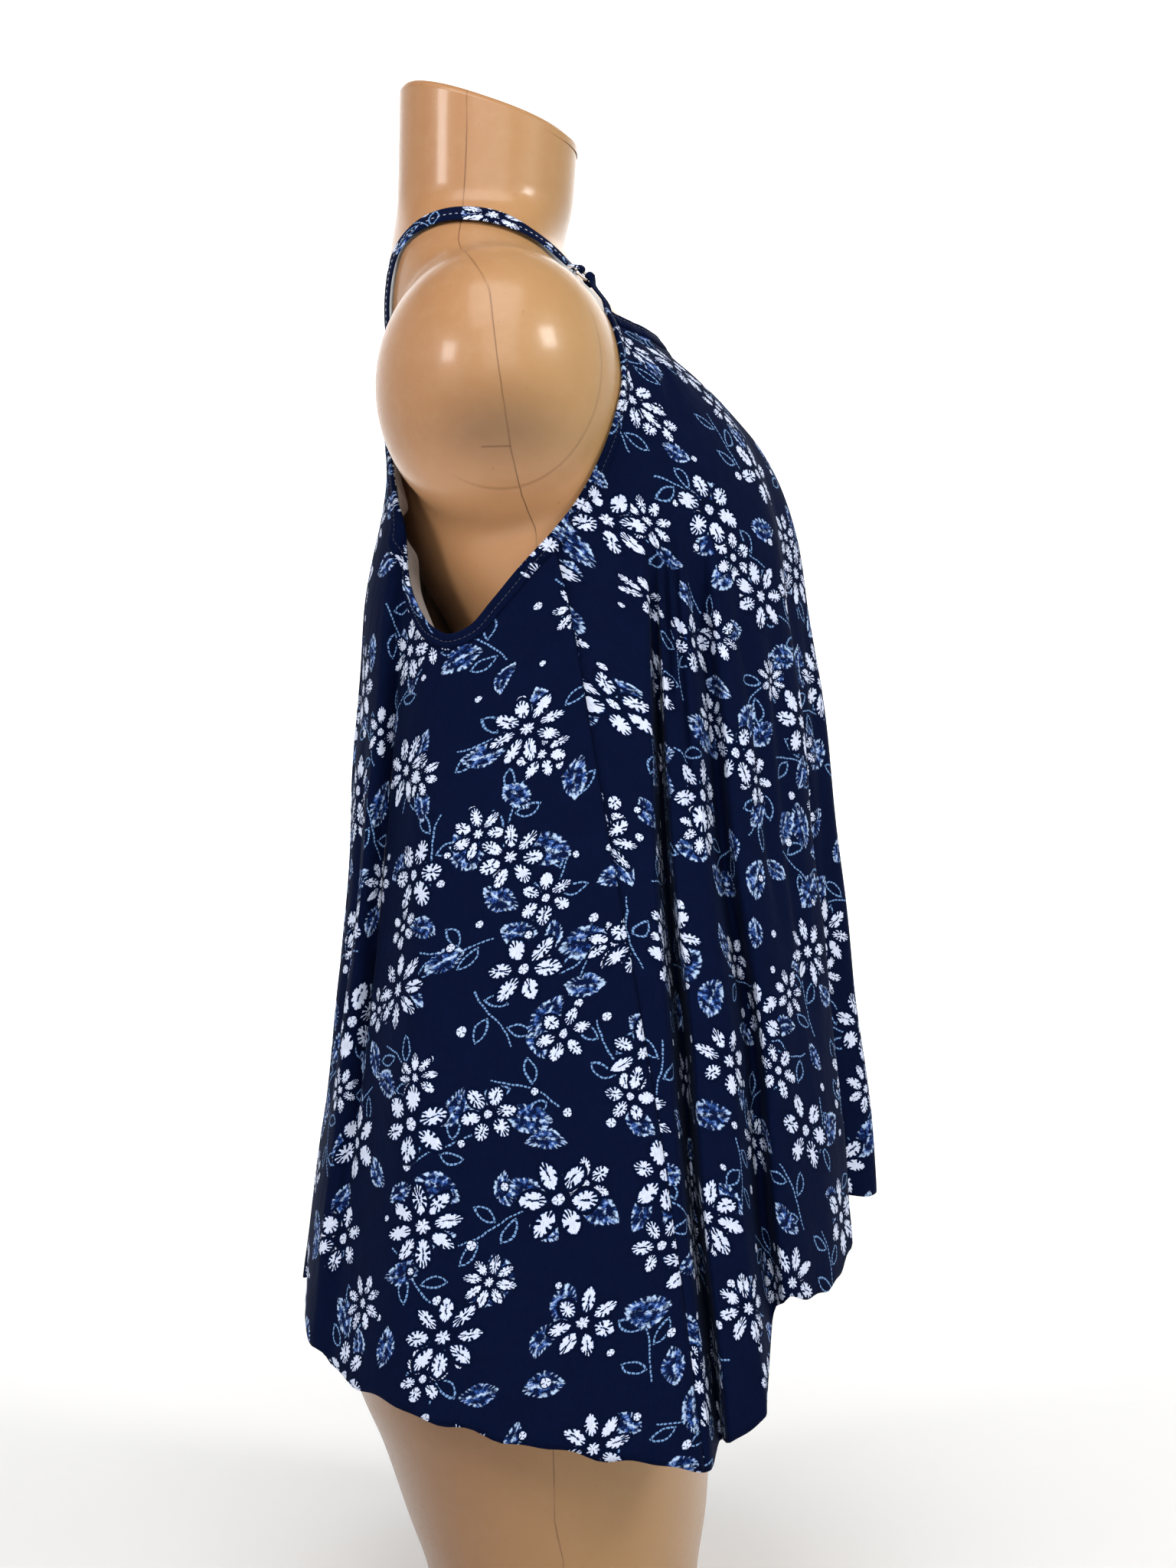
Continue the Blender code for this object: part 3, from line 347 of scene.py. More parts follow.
SPRIG_LEAF = dict(off=3.5, middle=6.5, length=7.5, width=3.5, rim=0.86, rim_half=0.16,
                  rim_edge=(0.06, -0.06), ticks=3.4, tick_edge=(0.42, 0.32))
BUD = dict(turn=6.0, jag=0.35, radius=(1.7, 0.9), edge=(0.25, -0.15), cut_half=0.16,
           cut_edge=(0.16, -0.06), cut_start=(0.5, 1.0), plot=3.2, plot_edge=(0.2, -0.2))
INK_EDGE, THIN_EDGE, THIN_SHARE = (0.45, 0.90), (0.05, 0.50), 0.85
STRAY_SMALL, STRAY_LARGE = 0.9, 3.0   # millimetres by which fine and slow noise move the print

# The plastic. The mould seam's place from front to back at each height.
MOULD_SEAM = (
    # height, y
    (0.000, 0.0060), (0.082, -0.0020), (0.105, 0.0030), (0.560, 0.0100), (0.659, 0.0140), (0.676, 0.0215),
    (0.700, 0.0270), (0.752, 0.0345), (0.787, 0.0385), (0.797, 0.0430), (0.819, 0.0560),
    (0.830, 0.0600), (0.893, 0.0570), (1.000, 0.0560),
)
SEAM_HALF, SEAM_RELIEF = 0.00028, 0.0004
ARM_CAP = dict(behind=0.0335, half_depth=0.0565, height=0.748, half_height=0.0690)
TICK = dict(height=0.7005, start=0.0265, end=0.0430)
# The dome's painted shade, a darker patch: its place from front to back, its height, and its reach in both.
DOME_SHADE = (0.032, 0.706, 0.040, 0.034)
# The paler colour after shade is painted light in a band just below the shoulder domes.
# front and back: the back half is painted rosier and darker, a painted tint of the pinker light from behind.
# low: painted shade towards the bottom.
# shade: painted shade on the dome's lower middle and at the back of the hips.
PLASTIC = dict(front=(0.420, 0.248, 0.102), back=(0.400, 0.200, 0.090), low=(0.340, 0.170, 0.070),
               grain=(0.47, 0.285, 0.15), speck=(0.20, 0.10, 0.05), shade=(0.125, 0.064, 0.026),
               chest=(0.62, 0.320, 0.150), seam=(0.13, 0.055, 0.022))
# Each pair down to PAINTED_CHEST_LIGHT_END is where a smooth step starts and ends.
SEAM_RANGE = 0.15                  # the mould seam lies within this of the middle
SEAM_WOBBLE, SEAM_EDGE, SEAM_SIDE = 0.0008, (0.00035, -0.00025), (0.035, 0.045)
CAP_HALF, CAP_EDGE, CAP_SIDE, CAP_FADE = 0.0003, (0.0007, -0.0003), (0.09, 0.12), (-0.2, -0.9)
TICK_TILT, TICK_HALF, TICK_EDGE = 0.02, 0.0004, (0.0003, -0.0002)
TICK_START_EDGE, TICK_END_EDGE = (-0.0005, 0.0005), (0.001, -0.001)
# Smooth steps of the plastic's painted light and shade: the rosier back half, the shade towards the bottom
# and the dome's shade patch.
PAINTED_ROSY_LIGHT_EDGE, PAINTED_LOW_SHADE_EDGE, PAINTED_DOME_SHADE_EDGE = (-0.045, 0.075), (0.30, 0.12), (1.3, 0.1)
# Smooth steps of the painted shade at the back of the hips, from front to back and in height.
PAINTED_HIP_SHADE_EDGE, PAINTED_HIP_SHADE_HEIGHT = (-0.02, 0.10), (0.30, 0.20)
# Smooth steps of the painted light in a band just below the shoulder domes.
PAINTED_CHEST_LIGHT_START, PAINTED_CHEST_LIGHT_END = (0.50, 0.61), (0.712, 0.672)

STAGE_FLAT, STAGE_BEND, STAGE_HEIGHT = 3.2, 1.4, 4.0
STAGE_RINGS, STAGE_STEPS, STAGE_SIDES = (0.0, 0.5, 1.2, 2.2), 13, 96
STAGE_COLOURS = ((0.83, 0.83, 0.83), (0.85, 0.85, 0.85))
SKY_COLOUR, SKY_STRENGTH = (1.0, 1.0, 1.0), 0.08
LIGHTS = (
    # name, place, aim, size, power, colour
    ("front softbox", (-1.25, -1.75, 2.00), (0.0, 0.0, 0.60), (0.60, 0.60), 27.0, (1.0, 0.98, 0.95)),
    ("back softbox", (-1.45, 1.60, 1.50), (0.0, 0.0, 0.60), (0.50, 0.50), 15.0, (1.0, 0.97, 0.94)),
    ("overhead", (-1.1, 0.1, 2.60), (-0.1, 0.0, 0.60), (1.6, 1.6), 31.0, (1.0, 1.0, 1.0)),
    ("camera side", (-2.30, -0.1, 1.70), (0.0, 0.0, 0.62), (1.4, 1.4), 15.0, (1.0, 0.99, 0.97)),
    ("backdrop wash", (2.60, 0.0, 3.20), (4.60, 0.0, 0.80), (3.4, 1.0), 165.0, (1.0, 1.0, 1.0)),
)
CAMERA_SENSOR, CAMERA_LENS = 36.0, 63.46   # millimetres
CAMERA_PLACE = (-1.70, -0.0155, 0.515)

# ---------------------------------------------------------------- numbers


def smooth(x, table, column=1):
    """Reads a column of a table at x along a smooth curve that never overshoots its points."""
    xs = np.array([row[0] for row in table], float)
    ys = np.array([row[column] for row in table], float)
    x = np.clip(np.asarray(x, float), xs[0], xs[-1])
    gap = np.diff(xs)
    slope = np.diff(ys) / gap
    tangent = np.zeros_like(ys)
    tangent[0], tangent[-1] = slope[0], slope[-1]
    for i in range(1, len(xs) - 1):
        if slope[i - 1] * slope[i] > 0:
            a, b = 2 * gap[i] + gap[i - 1], gap[i] + 2 * gap[i - 1]
            tangent[i] = (a + b) / (a / slope[i - 1] + b / slope[i])
    i = np.clip(np.searchsorted(xs, x) - 1, 0, len(gap) - 1)
    t = (x - xs[i]) / gap[i]
    rise = (2 * t ** 3 - 3 * t ** 2 + 1) * ys[i] + (3 * t ** 2 - 2 * t ** 3) * ys[i + 1]
    return rise + gap[i] * ((t ** 3 - 2 * t ** 2 + t) * tangent[i] + (t ** 3 - t ** 2) * tangent[i + 1])


def ease(t):
    t = np.clip(t, 0.0, 1.0)
    return t * t * (3 - 2 * t)


def soft_max(a, b, blend):
    """The larger of two values, rounded where they are within blend of each other."""
    h = np.maximum(blend - np.abs(a - b), 0.0) / blend
    return np.maximum(a, b) + h * h * blend / 4


def run_length(points):
    """Distance along a line at each of its points."""
    return np.concatenate([[0.0], np.cumsum(np.linalg.norm(np.diff(points, axis=0), axis=1))])


def paired(first, second):
    """Two values as arrays of numbers with one shape."""
    return np.broadcast_arrays(np.asarray(first, float), np.asarray(second, float))


def unit(v):
    return v / np.maximum(np.linalg.norm(v, axis=-1, keepdims=True), 1e-12)


def blurred(values, sigma, axis, wrap=False):
    """Values averaged along one axis with a bell curve of this many cells."""
    reach = max(1, int(math.ceil(3 * sigma)))
    weights = np.exp(-0.5 * (np.arange(-reach, reach + 1) / sigma) ** 2)
    pads = [(0, 0)] * values.ndim
    pads[axis] = (reach, reach)
    padded = np.pad(values, pads, mode="wrap" if wrap else "edge")
    count = values.shape[axis]
    total = sum(w * np.take(padded, np.arange(i, i + count), axis=axis) for i, w in enumerate(weights))
    return total / weights.sum()


def ripple(x, y, size, seed, layers=3):
    """Gentle waves in two directions, from -1 to 1, about size across."""
    rng = np.random.default_rng(seed)
    total = np.zeros(np.broadcast(x, y).shape)
    for _ in range(layers):
        turn, phase, stretch = rng.uniform(0, FULL_TURN), rng.uniform(0, FULL_TURN), rng.uniform(0.7, 1.4)
        along = (x * math.cos(turn) + y * math.sin(turn)) * FULL_TURN * stretch / size
        total = total + np.sin(along + phase)
    return total / layers


# ---------------------------------------------------------------- the dress form's surface


def form_field(x, y, z):
    """Below 0 inside the dress form, above 0 outside, roughly in metres near its skin."""
    half = smooth(z, FORM, 1)
    front, back = smooth(z, FORM, 2), smooth(z, FORM, 3)
    middle, depth = (back - front) / 2, (back + front) / 2
    n = FORM_ROUNDNESS
    trunk = ((np.abs(x) / half) ** n + (np.abs(y - middle) / depth) ** n) ** (1 / n) - 1
    trunk = trunk * np.minimum(half, depth)
    s = SHOULDER
    cap = np.sqrt(((np.abs(x) - s["across"]) / s["half_width"]) ** 2
                  + ((y - s["behind"]) / s["half_depth"]) ** 2
                  + ((z - s["height"]) / s["half_height"]) ** 2) - 1
    cap = cap * s["half_depth"]
    return -soft_max(-trunk, -cap, SHOULDER_BLEND)


def form_reach(origin, direction, start=0.34, step=0.004):
    """Distance from each origin along each direction to the form's skin, found from the outside in."""
    origin, direction = np.broadcast_arrays(origin, direction)
    reach = np.full(origin.shape[:-1], 0.0)
    found = np.zeros(reach.shape, bool)
    for r in np.arange(start, 0.0, -step):
        p = origin + direction * r
        inside = (form_field(p[..., 0], p[..., 1], p[..., 2]) < 0) & ~found
        reach = np.where(inside, r, reach)
        found |= inside
    low, high = reach, reach + step
    for _ in range(SEARCH_HALVINGS):
        mid = (low + high) / 2
        p = origin + direction * mid[..., None]
        inside = form_field(p[..., 0], p[..., 1], p[..., 2]) < 0
        low, high = np.where(inside, mid, low), np.where(inside, high, mid)
    return low


def heading(angle):
    """Level direction at a signed angle in degrees from the front."""
    a = np.radians(angle)
    return np.stack([np.sin(a), -np.cos(a), np.zeros_like(a)], -1)


# ---------------------------------------------------------------- the cloth's surface


def seam_angle(z):
    """The side seam, and above it the front edge of the armhole."""
    return np.where(z < SEAM_TOP, smooth(z, SEAM), smooth(z, ARMHOLE_FRONT))


def cloth_lines(side):
    """The lines of one half in order: angle at each level, stand-off at each level, hem height."""
    lines = []
    rows = list(FRONT_LINES) + [("seam", None, (0, 0, 0, 0, 0), SEAM_HEM)] + list(BACK_LINES)
    for k, (name, angles, stand_offs, hem) in enumerate(rows):
        fixed = name in ("centre front", "seam", "centre back")
        turn = 0.0 if fixed or side < 0 else LEFT_TURN
        depth = 1.0 if fixed or side < 0 else LEFT_DEPTH + LEFT_SPREAD * math.sin(1.7 * k + 1)
        offset = tuple((level, value * MM * depth) for level, value in zip(LEVELS, stand_offs))
        table = None if angles is None else tuple(
            (level, a + turn * math.sin(math.radians(5 * a))) for level, a in zip(LEVELS, angles))
        lines.append((table, offset, hem))
    return lines


LINES = {-1: cloth_lines(-1), 1: cloth_lines(1)}


def line_angles(side, z):
    return np.array([seam_angle(z) if table is None else smooth(z, table) for table, _, _ in LINES[side]])


def between_lines(side, angle, z, values):
    """Reads values held by the lines at an angle and height; values is one row for each line."""
    lines = line_angles(side, z)
    count = np.clip((lines <= angle).sum(axis=0), 1, len(lines) - 1)
    pick = (count, *np.indices(count.shape)) if count.ndim else (count,)
    before = (count - 1, *pick[1:])
    share = (angle - lines[before]) / np.maximum(lines[pick] - lines[before], 1e-6)
    return values[before], values[pick], np.clip(share, 0.0, 1.0)


def fold_stand_off(side, angle, z):
    values = np.array([smooth(z, offsets) for _, offsets, _ in LINES[side]])
    a, b, share = between_lines(side, angle, z, values)
    return a + (b - a) * ease(share)


def hem_height(angle):
    """Height of the raw hem at a signed angle, with its small unevenness."""
    angle = np.asarray(angle, float)
    height = np.full(angle.shape, LEVELS[0])
    for _ in range(3):
        for side in (-1, 1):
            mine = (angle < 0) == (side < 0)
            values = np.array([np.full(mine.sum(), hem) for _, _, hem in LINES[side]])
            a, b, share = between_lines(side, np.abs(angle[mine]), height[mine], values)
            height[mine] = a + (b - a) * share
    share, shift = HEM_WAVE_MIX
    wave = np.sin(np.radians(angle) * HEM_WAVES[0]) + share * np.sin(np.radians(angle) * HEM_WAVES[1] + shift)
    return height + HEM_WAVE * wave


def drape_reach(angle, z, offset):
    """Distance of the cloth's outer face from the axis, before the form pushes it out."""
    s, c = np.abs(np.sin(np.radians(angle))), np.abs(np.cos(np.radians(angle)))
    front = ((s / smooth(z, DRAPE, 1)) ** FRONT_ROUNDNESS
             + (c / smooth(z, DRAPE, 3)) ** FRONT_ROUNDNESS) ** (-1 / FRONT_ROUNDNESS)
    back = ((s / smooth(z, DRAPE, 2)) ** BACK_ROUNDNESS
            + (c / smooth(z, DRAPE, 4)) ** BACK_ROUNDNESS) ** (-1 / BACK_ROUNDNESS)
    behind = ease((np.abs(angle) - BEHIND[0]) / BEHIND[1])
    return front * (1 - behind) + back * behind + offset


def wander(angle, z):
    """Degrees by which the folds stray sideways; none at the seams, the armholes and the centre back."""
    side = np.where(angle < 0, -1.0, 1.0)
    away = 1 - np.exp(-((np.abs(angle) - seam_angle(z)) / WANDER_FREE) ** 2)
    away = away * ease((180 - np.abs(angle)) / WANDER_FREE)
    away = away * (1 - ease((z - WANDER_FADE[0]) / WANDER_FADE[1]))
    turn = sum(share * np.sin(z * FULL_TURN / length + np.radians(angle) * slope + side * shift)
               for length, slope, share, shift in WANDER_WAVES)
    return WANDER * away * turn


def crease_depth(angle, z):
    """Stand-off in metres of all the creases together."""
    total = np.zeros(np.broadcast(angle, z).shape)
    for _, top_angle, low_angle, top, low, bow, width, depth in CREASES:
        share = (top - z) / (top - low)
        middle = top_angle + (low_angle - top_angle) * share + bow * np.sin(math.pi * np.clip(share, 0, 1))
        across = (angle - middle) * CREASE_RADIUS * math.pi / 180 / (width * MM)
        along = ease(share / CREASE_ENDS[0]) * ease((1 - share) / CREASE_ENDS[1])
        total = total + depth * MM * along * np.exp(-across ** 2)
    return total


def surface_map():
    """The cloth's reach on a fine grid of signed angles and heights, with its folds rounded.

    The last grid says how far back each point is moved, so that folds beside the body run straight in.
    """
    angles = np.arange(-180.0, 180.0 + MAP_TURN / 2, MAP_TURN)
    heights = np.arange(MAP_LOW, MAP_HIGH, MAP_STEP)
    a, z = np.meshgrid(angles, heights)
    strayed = np.clip(a + wander(a, z), -180.0, 180.0)
    folds = np.where(a < 0, fold_stand_off(-1, np.abs(strayed), z), fold_stand_off(1, np.abs(strayed), z))
    reach = drape_reach(a, z, folds)
    side = heading(a) * reach[..., None]
    reach = reach + RIPPLE * ripple(side[..., 0] + side[..., 1], z, RIPPLE_SIZE, RIPPLE_SEED)
    reach = reach + crease_depth(a, z)
    seam = (np.abs(a) - seam_angle(z)) * CREASE_RADIUS * math.pi / 180
    share, first, second = PUCKER
    pucker = 1 + share * np.sin(z * FULL_TURN / first) * np.sin(z * FULL_TURN / second)
    reach = reach - SEAM_DIP * pucker * np.exp(-(seam / SEAM_DIP_WIDTH) ** 2) * (z < SEAM_TOP)
    hem = np.clip((z - hem_height(angles)[None, :]) / HEM_CURL_REACH, 0.0, 1.0)
    curl = ripple(np.radians(a) * CREASE_RADIUS, 0 * z, CURL_SIZE, CURL_SEED)
    reach = reach + HEM_CURL * (1 - ease(hem)) * curl
    reach = blurred(blurred(reach, ROUND_TURN / MAP_TURN, 1, wrap=True), ROUND_UP / MAP_STEP, 0)
    body_angles = np.arange(-180.0, 180.1, BODY_TURN)
    ba, bz = np.meshgrid(body_angles, np.arange(MAP_LOW, MAP_HIGH + BODY_STEP, BODY_STEP))
    body = form_reach(np.stack([0 * bz, 0 * bz, bz], -1), heading(ba))
    body = lookup(body, (ba[0], bz[:, 0]), a, z)
    reach = soft_max(reach, body + BODY_GAP, BODY_BLEND)
    beside = ease((np.abs(np.sin(np.radians(a))) - LEAN_START) / (LEAN_FULL - LEAN_START))
    depth = np.maximum(drape_reach(a, z, 0.0) - reach, 0.0)
    return angles, heights, reach, LEAN * beside * np.cos(np.radians(a)) * depth


def wrapped(angle):
    return (np.asarray(angle, float) + 180.0) % 360.0 - 180.0


def lookup(values, axes, angle, z):
    """Values of a grid of angle (across) and height (up) at any angle and height between its cells."""
    angles, heights = axes
    a = (wrapped(angle) - angles[0]) / (angles[1] - angles[0])
    h = (np.clip(z, heights[0], heights[-1]) - heights[0]) / (heights[1] - heights[0])
    i = np.minimum(a.astype(int), len(angles) - 2)
    j = np.minimum(h.astype(int), len(heights) - 2)
    fa, fh = a - i, h - j
    low = values[j, i] * (1 - fa) + values[j, i + 1] * fa
    high = values[j + 1, i] * (1 - fa) + values[j + 1, i + 1] * fa
    return low * (1 - fh) + high * fh


MAP_ANGLES, MAP_HEIGHTS, MAP_REACH, MAP_LEAN = surface_map()
MAP_AXES = (MAP_ANGLES, MAP_HEIGHTS)


def surface(angle, z):
    """A point of the cloth's outer face."""
    angle, z = paired(angle, z)
    reach = lookup(MAP_REACH, MAP_AXES, angle, z)
    lean = lookup(MAP_LEAN, MAP_AXES, angle, z)
    return heading(angle) * reach[..., None] + np.stack([0 * z, -lean, z], -1)


def surface_normal(angle, z):
    """Outward direction of the cloth, taken over a few millimetres."""
    angle, z = paired(angle, z)
    across = surface(angle + NORMAL_TURN, z) - surface(angle - NORMAL_TURN, z)
    up = surface(angle, z + NORMAL_STEP) - surface(angle, z - NORMAL_STEP)
    normal = unit(np.cross(across, up))
    flip = np.sign(np.sum(normal * heading(angle), -1, keepdims=True))
    return normal * np.where(flip == 0, 1.0, flip)


def cloth_metres():
    """Where each point of the cloth's grid lies on the flat cloth: metres across from the centre and up."""
    points = surface(*np.meshgrid(MAP_ANGLES, MAP_HEIGHTS))
    step = np.linalg.norm(np.diff(points, axis=1), axis=-1)
    across = np.concatenate([np.zeros((len(points), 1)), np.cumsum(step, axis=1)], axis=1)
    middle = len(MAP_ANGLES) // 2
    rise = np.linalg.norm(np.diff(points, axis=0), axis=-1)
    up = np.concatenate([np.zeros((1, points.shape[1])), np.cumsum(rise, axis=0)], axis=0)
    return across - across[:, middle:middle + 1], blurred(up, UP_BLUR / MAP_TURN, 1, wrap=True)


ACROSS, UP = cloth_metres()


def on_cloth(angle, z, behind=False):
    """The place on the flat cloth, in metres, of an angle and height; behind counts from the centre back."""
    angle, z = paired(angle, z)
    across = lookup(ACROSS, MAP_AXES, angle, z)
    if behind:
        ends = np.where(angle < 0, *(lookup(ACROSS, MAP_AXES, end, z) for end in (-179.999, 179.999)))
        across = across - ends + BACK_PRINT_START
    return np.stack([across, lookup(UP, MAP_AXES, angle, z)], -1)


# ---------------------------------------------------------------- shader arithmetic


class Signal:
    """A number at each shaded point. Arithmetic on it adds the nodes that work it out."""

    def __init__(self, tree, socket):
        self.tree, self.socket = tree, socket

    def node(self, operation, *others):
        node = self.tree.nodes.new("ShaderNodeMath")
        node.operation = operation
        for i, value in enumerate((self, *others)):
            put(self.tree, value, node.inputs[i])
        return Signal(self.tree, node.outputs[0])

    def __add__(self, other):
        return self.node("ADD", other)

    __radd__ = __add__

    def __sub__(self, other):
        return self.node("SUBTRACT", other)

    def __rsub__(self, other):
        return (self * -1.0) + other

    def __mul__(self, other):
        return self.node("MULTIPLY", other)

    __rmul__ = __mul__

    def __truediv__(self, other):
        return self.node("DIVIDE", other)

    def __rtruediv__(self, other):
        return self.power(-1.0) * other

    def __abs__(self):
        return self.node("ABSOLUTE")

    def floor(self):
        return self.node("FLOOR")

    def fract(self):
        return self.node("FRACT")

    def sin(self):
        return self.node("SINE")

    def cos(self):
        return self.node("COSINE")

    def power(self, other):
        return self.node("POWER", other)

    def least(self, other):
        return self.node("MINIMUM", other)

    def most(self, other):
        return self.node("MAXIMUM", other)

    def over(self, other):
        return self.node("GREATER_THAN", other)

    def rise(self, low, high):
        """0 below low, 1 above high, a smooth step between; falls instead if low is above high."""
        node = self.tree.nodes.new("ShaderNodeMapRange")
        node.interpolation_type = "SMOOTHSTEP"
        put(self.tree, self, node.inputs["Value"])
        flip = not isinstance(low, Signal) and not isinstance(high, Signal) and low > high
        ends = (high, low) if flip else (low, high)
        for name, value in zip(("From Min", "From Max"), ends):
            put(self.tree, value, node.inputs[name])
        node.inputs["To Min"].default_value = 1.0 if flip else 0.0
        node.inputs["To Max"].default_value = 0.0 if flip else 1.0
        return Signal(self.tree, node.outputs["Result"])


def put(tree, value, socket):
    if isinstance(value, Signal):
        tree.links.new(value.socket, socket)
    else:
        socket.default_value = value


def vector(x, y, z=0.0):
    node = x.tree.nodes.new("ShaderNodeCombineXYZ")
    for value, socket in zip((x, y, z), node.inputs):
        put(x.tree, value, socket)
    return Signal(x.tree, node.outputs[0])


def picked(luck, bounds):
    """A value picked by dice: the least one, plus a share of the range."""
    return luck * bounds[1] + bounds[0]


def object_place(tree):
    """The place on a piece in metres."""
    return Signal(tree, tree.nodes.new("ShaderNodeTexCoord").outputs["Object"])


def parts(signal):
    node = signal.tree.nodes.new("ShaderNodeSeparateXYZ")
    signal.tree.links.new(signal.socket, node.inputs[0])
    return [Signal(signal.tree, socket) for socket in node.outputs]


def dice(x, y, seed):
    """Three even random numbers for each whole-numbered place."""
    node = x.tree.nodes.new("ShaderNodeTexWhiteNoise")
    node.noise_dimensions = "3D"
    x.tree.links.new(vector(x, y, seed).socket, node.inputs["Vector"])
    return parts(Signal(x.tree, node.outputs["Color"]))


def noise(place, scale, detail=2.0, roughness=0.5, colour=False):
    node = place.tree.nodes.new("ShaderNodeTexNoise")
    place.tree.links.new(place.socket, node.inputs["Vector"])
    node.inputs["Scale"].default_value = scale
    node.inputs["Detail"].default_value = detail
    node.inputs["Roughness"].default_value = roughness
    if colour:
        return parts(Signal(place.tree, node.outputs["Color"]))
    return Signal(place.tree, node.outputs[0])


def mix(tree, share, first, second):
    """A colour between two colours; each is a tuple or the output of another mix."""
    node = tree.nodes.new("ShaderNodeMix")
    node.data_type = "RGBA"
    put(tree, share, node.inputs[0])
    for value, socket in ((first, node.inputs[6]), (second, node.inputs[7])):
        put(tree, value if isinstance(value, Signal) else (*value, 1.0), socket)
    return Signal(tree, node.outputs[2])


def bump(tree, height, distance, under=None):
    node = tree.nodes.new("ShaderNodeBump")
    node.inputs["Distance"].default_value = distance
    node.inputs["Strength"].default_value = 1.0
    put(tree, height, node.inputs["Height"])
    if under is not None:
        tree.links.new(under.socket, node.inputs["Normal"])
    return Signal(tree, node.outputs[0])


def new_material(name, **values):
    """A material with a Principled BSDF; values are its sockets' own, with _ for a space."""
    mat = bpy.data.materials.new(name)
    mat.use_nodes = True
    shader = mat.node_tree.nodes["Principled BSDF"]
    for key, value in values.items():
        shader.inputs[key.replace("_", " ")].default_value = value
    return mat, mat.node_tree, shader


def cloth_place(tree):
    """The place on the flat cloth in millimetres: across, up."""
    node = tree.nodes.new("ShaderNodeUVMap")
    node.uv_map = CLOTH_MAP
    x, y, _ = parts(Signal(tree, node.outputs["UV"]))
    return x * 1000.0, y * 1000.0


# ---------------------------------------------------------------- the print


def cells(x, y, pitch, turn, seed, stray):
    """Splits the cloth into squares turned by some degrees.

    Gives the place in millimetres from a point near each square's middle, the square's number and its dice.
    """
    c, s = math.cos(math.radians(turn)), math.sin(math.radians(turn))
    u, v = (x * c + y * s) / pitch, (y * c - x * s) / pitch
    cell_u, cell_v = u.floor(), v.floor()
    first = dice(cell_u, cell_v, seed)
    second = dice(cell_u, cell_v, seed + 0.5)
    px = (u - cell_u - 0.5) * pitch - (first[0] - 0.5) * stray
    py = (v - cell_v - 0.5) * pitch - (first[1] - 0.5) * stray
    return px, py, cell_u, cell_v, (first[2], *second)


def distance(x, y):
    return (x * x + y * y).power(0.5)


def polar(x, y):
    return distance(x, y), y.node("ARCTAN2", x)


def turned(x, y, angle):
    """The place as seen from axes turned by an angle in radians."""
    if isinstance(angle, Signal):
        c, s = angle.cos(), angle.sin()
    else:
        c, s = math.cos(angle), math.sin(angle)
    return x * c + y * s, y * c - x * s


def crackle(px, py, count, seed, jag):
    """Fine dark lines that run in from the edge of a spot; px and py are 1 at its edge."""
    radius, angle = polar(px, py)
    turn = (angle / FULL_TURN + 0.5 + jag * CRACK["jag"]) * count
    spoke = turn.floor()
    luck = dice(spoke, seed, 3.0)
    across = abs(turn - spoke - 0.5) * radius * (FULL_TURN / count)
    past = radius - picked(luck[0], CRACK["depth"])
    width = picked(luck[1], CRACK["width"]) * past.rise(*CRACK["thin_edge"])
    return (across - width).rise(*CRACK["line_edge"]) * past.rise(*CRACK["start_edge"])


def petal_shape(radius, around, which, own, grown, count, point):
    """The place along and across the nearest petal, and how far out it is, about 1 at the petal's edge."""
    sway = (around - which - 0.5 + (own[0] - 0.5) * PETAL["sway"]) * FULL_TURN / count
    length = grown * picked(own[1], PETAL["length"])
    width = grown * picked(own[2], PETAL["width"]) * (PETAL["usual"] / count)
    along = (radius * sway.cos() - grown * PETAL["middle"]) / length
    across = abs(radius * sway.sin()) / width
    return along, across, across.power(picked(point, PETAL["point"])) + along * along


def petal_vein(along, across, jag):
    """The dark vein down a petal's middle."""
    side = (abs(across + jag * VEIN["across_jag"]) - VEIN["half"]).rise(*VEIN["side_edge"])
    return side * (abs(along + jag * VEIN["along_jag"]) - VEIN["reach"]).rise(*VEIN["end_edge"])


def flower_heart(radius, angle, around, grown, jag, luck):
    """The round or starry spot at a flower's middle, with dark pips."""
    star = (around * FULL_TURN).cos() * luck[1].over(HEART["star_chance"])
    out = radius / (grown * picked(star, HEART["size"]))
    spot = (out + jag * HEART["jag"]).rise(*HEART["edge"])
    pips = (abs((angle * HEART["pips"] + luck[0] * HEART["pip_turn"]).sin()) * out - HEART["pip_half"])
    return spot * (1.0 - pips.rise(*HEART["pip_edge"]) * out.rise(*HEART["pip_start"]))


def flowers(x, y, jag, pitch, turn, seed, stray, size, chance):
    """White flowers of separate petals. Gives the ink and the round plot that each flower keeps free."""
    px, py, cu, cv, luck = cells(x, y, pitch, turn, seed, stray)
    grown = picked(luck[0], (size[0], size[1] - size[0]))
    count = (luck[1] * PETAL["extra"]).floor() + PETALS_LEAST
    radius, angle = polar(px, py)
    around = (angle / FULL_TURN + luck[2]).fract() * count
    which = around.floor()
    own = dice(which + cu * 17.0, cv * 13.0 + which, seed + 2.0)
    along, across, shape = petal_shape(radius, around, which, own, grown, count, luck[3])
    petal = (shape + jag * PETAL["jag"]).rise(*PETAL["edge"])
    lines = crackle(along, across, PETAL["cracks"], which * 3.1 + cu * 7.0 + cv * 11.0, jag)
    vein = petal_vein(along, across, jag) * own[0].over(VEIN["chance"])
    ink = (petal * (1.0 - lines) * (1.0 - vein)).most(flower_heart(radius, angle, around, grown, jag, luck))
    here = luck[3].over(1.0 - chance)
    out = radius / grown
    plot = (shape - PLOT["petal"]).rise(*PLOT["petal_edge"])
    plot = plot.most(out.rise(*PLOT["heart_edge"])) * out.rise(*PLOT["reach_edge"])
    return ink * here, plot * here


def leaf_shape(px, py, length, width, bend):
    """How far out a place is in a pointed leaf, 1 at its edge, and its place along and across it."""
    along = px / length
    across = (py + along * along * bend) / width
    return abs(across).power(LEAF["point"]) + along * along, along, across


